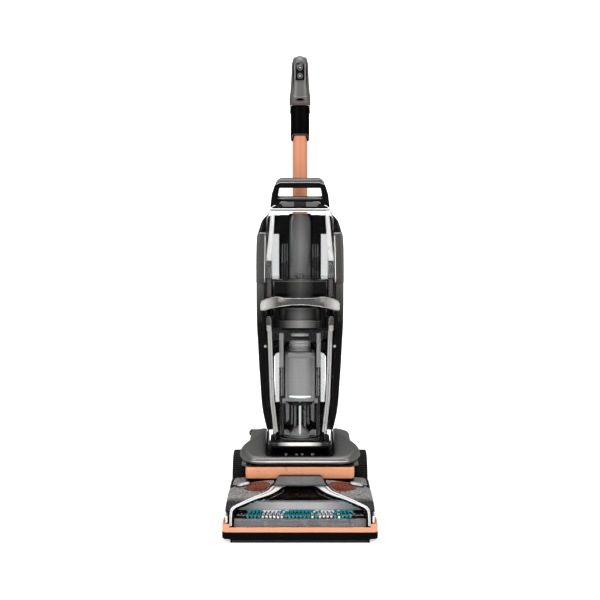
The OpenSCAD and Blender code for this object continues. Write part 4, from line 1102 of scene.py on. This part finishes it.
def recovery_lid():
    """Lid over the recovery tank: flange, stepped drum in front, and a clip with a frosted tab on each side."""
    flange = stack([(459.6, -1.4), (460.6, 0), (463.2, 0), (464.2, -1.2)], 78.4, -50, 46, 17, swell=1)
    cap = stack([(464, 0), (500, 0), (518, -0.6), (521.6, -2), (523.4, -5)], 70, -40, 44, 14, swell=1)
    neck = column([(452.2, 0), (459.4, 0)], lambda g: rounded_plan(72, -46.8, 42.8, 14, 8))
    cheeks = [loft([[(x, y, z) for x,
            y in ((61 + g, -49.2 + g), (76 - g, -49.2 + g), (78.2 - g, -46), (78.2 - g, 43 - g),
            (61 + g, 43 - g))]
            for z, g in ((464, 0), (489, 0), (491, 0.8), (492, 2.4))])]
    piece("lid_body", "black_gloss", DIRTY, [flange, cap, neck] + both(*cheeks), hides=["recovery_lid"], angle=35)
    drum = column([(482.6, -1.4), (483.8, 0), (497, 0.5), (509.4, 0), (510.8, -1.6)],
            lambda g: rounded_plan(52 + g, -49 - g, 0, 20, 10))
    piece("lid_drum", "drum_sheen", DIRTY, [drum], angle=50)
    levels = [(464.4, -1.2), (465.4, 0), (469, 0.2), (469.6, -0.8), (470.4, -0.8), (471, 0.2), (476, 0.2),
            (476.6, -0.8), (477.4, -0.8),
            (478, 0.2), (481, 0), (482.2, -1.4)]
    ring = column(levels, lambda g: rounded_plan(54 + g, -51 - g, 0, 20, 10))
    piece("lid_ring", "ring_sheen", DIRTY, [ring], angle=40)
    clips = [loft([[(x, -51.0 + g, z), (x + w, -50.4 + g, z), (x + w, -48.6, z), (x, -48.6, z)] for z, x, w, g in
            ((464.2, 67.5, 10.4, 0.4), (466, 67.3, 10.8, 0), (488, 68.2, 10.4, 0), (491.6, 70, 7.4, 0.6))])]
    piece("lid_clips", "veil", DIRTY, both(*clips), bevel=0.5)
    tabs = [loft([[(x, -51.2, z), (x + 10.4, -50.6, z), (x + 10.4, -50.0, z), (x, -50.0, z)] for z,
            x in ((457.5, 66.8), (471, 67.2))])]
    piece("lid_tabs", "strip", DIRTY, both(*tabs), bevel=0.3)
    glints = [tube([(67.4, -51.4, 472), (68, -51.4, 484), (71, -51.2, 491.4), (75, -51.0, 491.8)], 0.5, 6)]
    piece("clip_glints", "silver", DIRTY, both(*glints))


def separator():
    """Air path and strainer inside the recovery tank, with the inlet posts beside the float."""
    ring = stack([(434.9, -1.5), (436.4, 0), (450.4, 0), (451.8, -1.5)], 63.4, -40, 34, 16)
    step = stack([(423.2, -9), (426, -6), (430, -1.5), (434.8, 0)], 51.4, -36, 30, 14)
    piece("air_ring", "black_gloss", DIRTY, [ring, step], hides=["separator"], angle=40)
    levels = [(405.6 + 28.4 * k / 27, 0.0 if k % 7 < 5 else -1.8) for k in range(28)]
    sunk = column(levels[:15], lambda g: rounded_plan(25.6 + g, -23.6 - g, 15.6, 11, 8))
    low = column([(420.4, 0)] + levels[15:], lambda g: rounded_plan(26 + g, -42 - g, 8, 14, 8))
    high = column([(443.6, -1), (444.6, 0), (450, 0), (450.6, -0.8), (451.4, -0.8), (452, 0), (458.4, 0)],
            lambda g: rounded_plan(27 + g, -43 - g, 8, 14, 8))
    piece("air_neck", "neck_sheen", DIRTY, [sunk, low, high], angle=40)
    collar = column([(434.4, 0), (437, 1), (441, 1), (443.4, 0)], lambda g: rounded_plan(31 + g, -43 - g, 8, 14, 8))
    piece("neck_seal", "black_gloss", DIRTY, [collar], angle=60)
    upper = lathe([(0, 371), (4.8, 371), (5.2, 372), (5.2, 452), (4.6, 453), (0, 453)], "z", (43.5, -41), 24)
    piece("inlet_posts", "mid_grey", DIRTY, both(upper), angle=40)
    lower = lathe([(0, 206), (4.6, 206), (4.6, 370.5), (0, 370.5)], "z", (42.5, -24), 20)
    foot = prism([(33, 283), (42, 283), (42, 294), (36, 294)], "y", -32, -22)
    piece("inlet_pipes", "black_gloss", DIRTY, both(lower), angle=40)
    piece("pipe_feet", "mid_grey", DIRTY, both(foot), bevel=1.0)
    lines = [tube([(x, -29.2, 300), (x, -29.2, 368)], 0.45, 6) for x in (40, 44.2)]
    piece("pipe_glints", "silver", DIRTY, both(*lines))
    panes = prism([(26.5, 240), (33.5, 234), (34.5, 282), (25.5, 282)], "y", -21, -19)
    piece("strainer_panes", "frosted", DIRTY, both(panes), bevel=0.4)
    fins = [prism([(9, 226), (14.4, 222), (13.6, 283), (9, 283)], "y", -22, -12),
            prism([(17.5, 232), (21.5, 228), (20.5, 283), (17.5, 283)], "y", -22, -12)]
    piece("strainer_fins", "dark_grey", DIRTY, both(*fins), bevel=0.8)
    rod = lathe([(0, 206), (2.9, 206), (2.9, 284), (0, 284)], "z", (0, -24), 16)
    piece("strainer_rod", "silver", DIRTY, [rod])
    top = lathe([(0, 276), (30, 277), (33, 279), (33, 282), (30, 283.6), (0, 284)], "z", (0, -4), 48)
    piece("strainer_top", "black_gloss", DIRTY, [top], angle=40)
    base = lathe([(0, 196.2), (22, 196.2), (23, 198), (23, 205), (21.6, 206), (21.6, 209), (19.4, 210), (19, 213),
            (16.4, 214), (15.6, 217),
            (12.4, 218), (11, 221), (7, 223), (0, 226)], "z", (0, -4), 48)
    web = both(prism([(22, 200), (47, 202), (43, 212), (30, 214), (22, 207)], "y", -10, -2))
    piece("strainer_base", "mid_grey", DIRTY, [base] + web, angle=40)
    arcs = []
    for rx, ry, z in ((49, 34, 197.2), (40, 30, 201.5), (30, 24, 206)):
        turns = [-1.25 + 2.5 * k / 20 for k in range(21)]
        arcs.append(tube([(rx * sin(t), -8 - ry * cos(t), z) for t in turns], 0.6, 6))
    piece("basin_arcs", "mid_grey", DIRTY, arcs)
    floor = column([(194.8, 0), (196, 0)], lambda g: rounded_plan(58, -46.4, 42, 14, 8))
    piece("basin_floor", "black_gloss", DIRTY, [floor])


def float_block():
    body = [[(x, y, z) for x, y in rounded_plan(35 + g, -28 - g, 20.5 + g, 9, 7)]
            for z, g in ((285, -4), (286.2, -1.6), (289, 0), (398, 0), (402, -0.5), (403.6, -1.5))]
    body += [[(x, y, z) for x, y in rounded_plan(27.2, -25, 17, 12, 7)] for z in (403.6, 386)]
    outer = rounded_plan(35.2, 286, 402.5, 8, 6)
    inner = rounded_plan(28.5, 296, 392, 5, 6)
    rings = [[(x, -27, z) for x, z in outer], [(x, -29.6, z) for x, z in outer],
            [(x * 0.97, -30.6, 344 + (z - 344) * 0.985) for x, z in outer],
            [(x * 1.03, -30.6, 344 + (z - 344) * 1.01) for x, z in inner], [(x, -29.4, z) for x, z in inner],
            [(x * 0.97, -27.4, 344 + (z - 344) * 0.985) for x, z in inner]]
    # the float's body carries painted shade towards its sides
    piece("float_block", "float_body", "float_valve", [loft(body), loft(rings, caps=False)], hides=["float"], angle=40)
    face = loft([[(x, -28.0, z) for x, z in rounded_plan(26, 299, 389, 4, 6)],
            [(x, -28.9, z) for x, z in rounded_plan(25, 300, 388, 4, 6)]])
    # the float's face carries a painted sheen, lighter in the middle
    piece("float_face", "float_pad", "float_valve", [face], angle=40)
    # painted highlight: a bright bar along the bottom of the float's face
    lip = tube([(-26 + 52 * k / 20, -29.8, 299 - 2.2 * (1 - ((k - 10) / 10) ** 2)) for k in range(21)],
            [0.4 + 3.4 * sqrt(max(0.0, 1 - ((k - 10) / 10) ** 2)) for k in range(21)], 10)
    piece("float_lip", "bright", "float_valve", [lip])


def arch_handle():
    """Curved grip across the recovery tank's lid: raised near both ends, with a painted sheen that is dark in the
    middle and bright at the tips.
    """
    def face(deg, reach):
        a = radians(deg)
        return reach * sin(a), 36 - reach * cos(a)
    top = [(0, 537.8), (42, 537.8), (48, 540), (58, 539.8), (66, 538), (80, 533.2), (88, 528.6), (92.6, 523)]
    low = [(0, 521.5), (20, 520.8), (45, 516.6), (75, 509), (88, 503.4), (92.6, 504)]
    rows = []
    for k in range(61):
        deg = -51.8 + 103.6 * k / 60
        x, y = face(deg, 118)
        xb, yb = face(deg, 110.2)
        zt, zl = along(top, abs(x)), along(low, abs(x))
        rows.append([(xb, yb, zl), (x * 0.99, y + 0.6, zl + 0.6), (x, y, zl + 3.0), (x, y, zt - 3.0),
                (x * 0.99, y + 1, zt - 0.6), (xb, yb, zt)])
    piece("arch_grip", "arch_metal", DIRTY, [loft(rows)], hides=["recovery_handle"], angle=50)
    # painted highlights: silver lines along the grip's top and bottom edges
    lines = []
    for share, reach, size in ((0.96, 118.2, 0.7), (0.06, 117.6, 0.8)):
        line = []
        for k in range(57):
            x, y = face(-50 + 100 * k / 56, reach)
            zt, zl = along(top, abs(x)), along(low, abs(x))
            line.append((x, y, zl + (zt - zl) * share))
        lines.append(tube(line, size, 8))
    piece("arch_edge_highlights", "silver", DIRTY, lines)
    lug = [(-45, 462), (-33, 462), (-31, 492), (-35, 505), (-45.5, 505), (-48, 492)]
    piece("arch_lugs", "black_gloss", DIRTY, both(prism(lug, "x", 78.6, 89.6)), bevel=1.4)
    pins = lathe([(0, 89.4), (5.5, 89.4), (5.5, 90.2), (4.4, 91), (0, 91.2)], "x", (-39.5, 484), 28)
    piece("arch_pins", "dark_grey", DIRTY, both(pins), angle=40)


# ---------- studio ----------

def backdrop():
    """Pale floor that curves up into a wall behind the object."""
    line = [(-5.0, 0.0), (1.6, 0.0)] + [(1.6 + 1.2 * sin(radians(a)), 1.2 - 1.2 * cos(radians(a)))
            for a in range(10, 91, 10)] + [(2.8, 5.0)]
    verts = [(x, y, z) for x in (-6, 6) for y, z in line]
    count = len(line)
    faces = [(i, i + 1, count + i + 1, count + i) for i in range(count - 1)]
    mesh = bpy.data.meshes.new("backdrop")
    mesh.from_pydata(verts, [], faces)
    mesh.shade_smooth()
    obj = put("backdrop", mesh)
    paper = surface("paper", (0.9, 0.9, 0.9), 0.8, vary=0.01, blotch=3, bump=0.0, specular=0.1)
    shader = paper.node_tree.nodes["Principled BSDF"]
    shader.inputs["Emission Color"].default_value = (1, 1, 1, 1)
    shader.inputs["Emission Strength"].default_value = 0.5
    mesh.materials.append(paper)
    obj.visible_glossy = False


def lamp(name, place, aim, size, power):
    light = bpy.data.lights.new(name, "AREA")
    light.shape = "RECTANGLE"
    light.size, light.size_y = size
    light.energy = power
    obj = put(name, light)
    obj.location = place
    obj.rotation_euler = (Vector(aim) - Vector(place)).to_track_quat("-Z", "Y").to_euler()


def studio():
    backdrop()
    lamp("key", (-1.7, -1.9, 1.6), (0, 0, 0.5), (0.7, 2.2), 34)
    lamp("fill", (1.9, -1.6, 1.4), (0, 0, 0.5), (0.6, 2.2), 26)
    lamp("top", (0, -0.5, 2.6), (0, 0, 0.3), (1.6, 0.9), 26)
    lamp("brow", (0, -2.3, 2.2), (0, 0, 0.2), (1.5, 0.16), 12)
    lamp("back_wash", (0, 0.9, 2.8), (0, 2.6, 1.0), (3.5, 0.8), 40)
    world = bpy.data.worlds.new("studio")
    world.use_nodes = True
    world.node_tree.nodes["Background"].inputs[0].default_value = (1, 1, 1, 1)
    world.node_tree.nodes["Background"].inputs[1].default_value = 0.22
    bpy.context.scene.world = world


def camera():
    data = bpy.data.cameras.new("camera")
    data.lens, data.sensor_width = LENS, SENSOR
    obj = put("camera", data)
    obj.location = CAMERA_AT
    obj.rotation_euler = (radians(90 - CAMERA_DOWN), 0, 0)
    bpy.context.scene.camera = obj


dress_cad()
foot_shells()
shoulders()
recess_marks()
lenses()
release_buttons()
nozzle_window()
nozzle_arms()
tufts("rear_roll", -98, "rear_roll")
tufts("front_roll", -158, "front_roll")
wheels()
foot_details()
rails()
spine()
collar()
lower_body()
chrome_lip()
pole()
handle()
clean_tank()
tank_top()
carry_handle()
recovery_tank()
recovery_lid()
separator()
float_block()
arch_handle()
studio()
camera()
bpy.context.scene.view_settings.view_transform = "Standard"
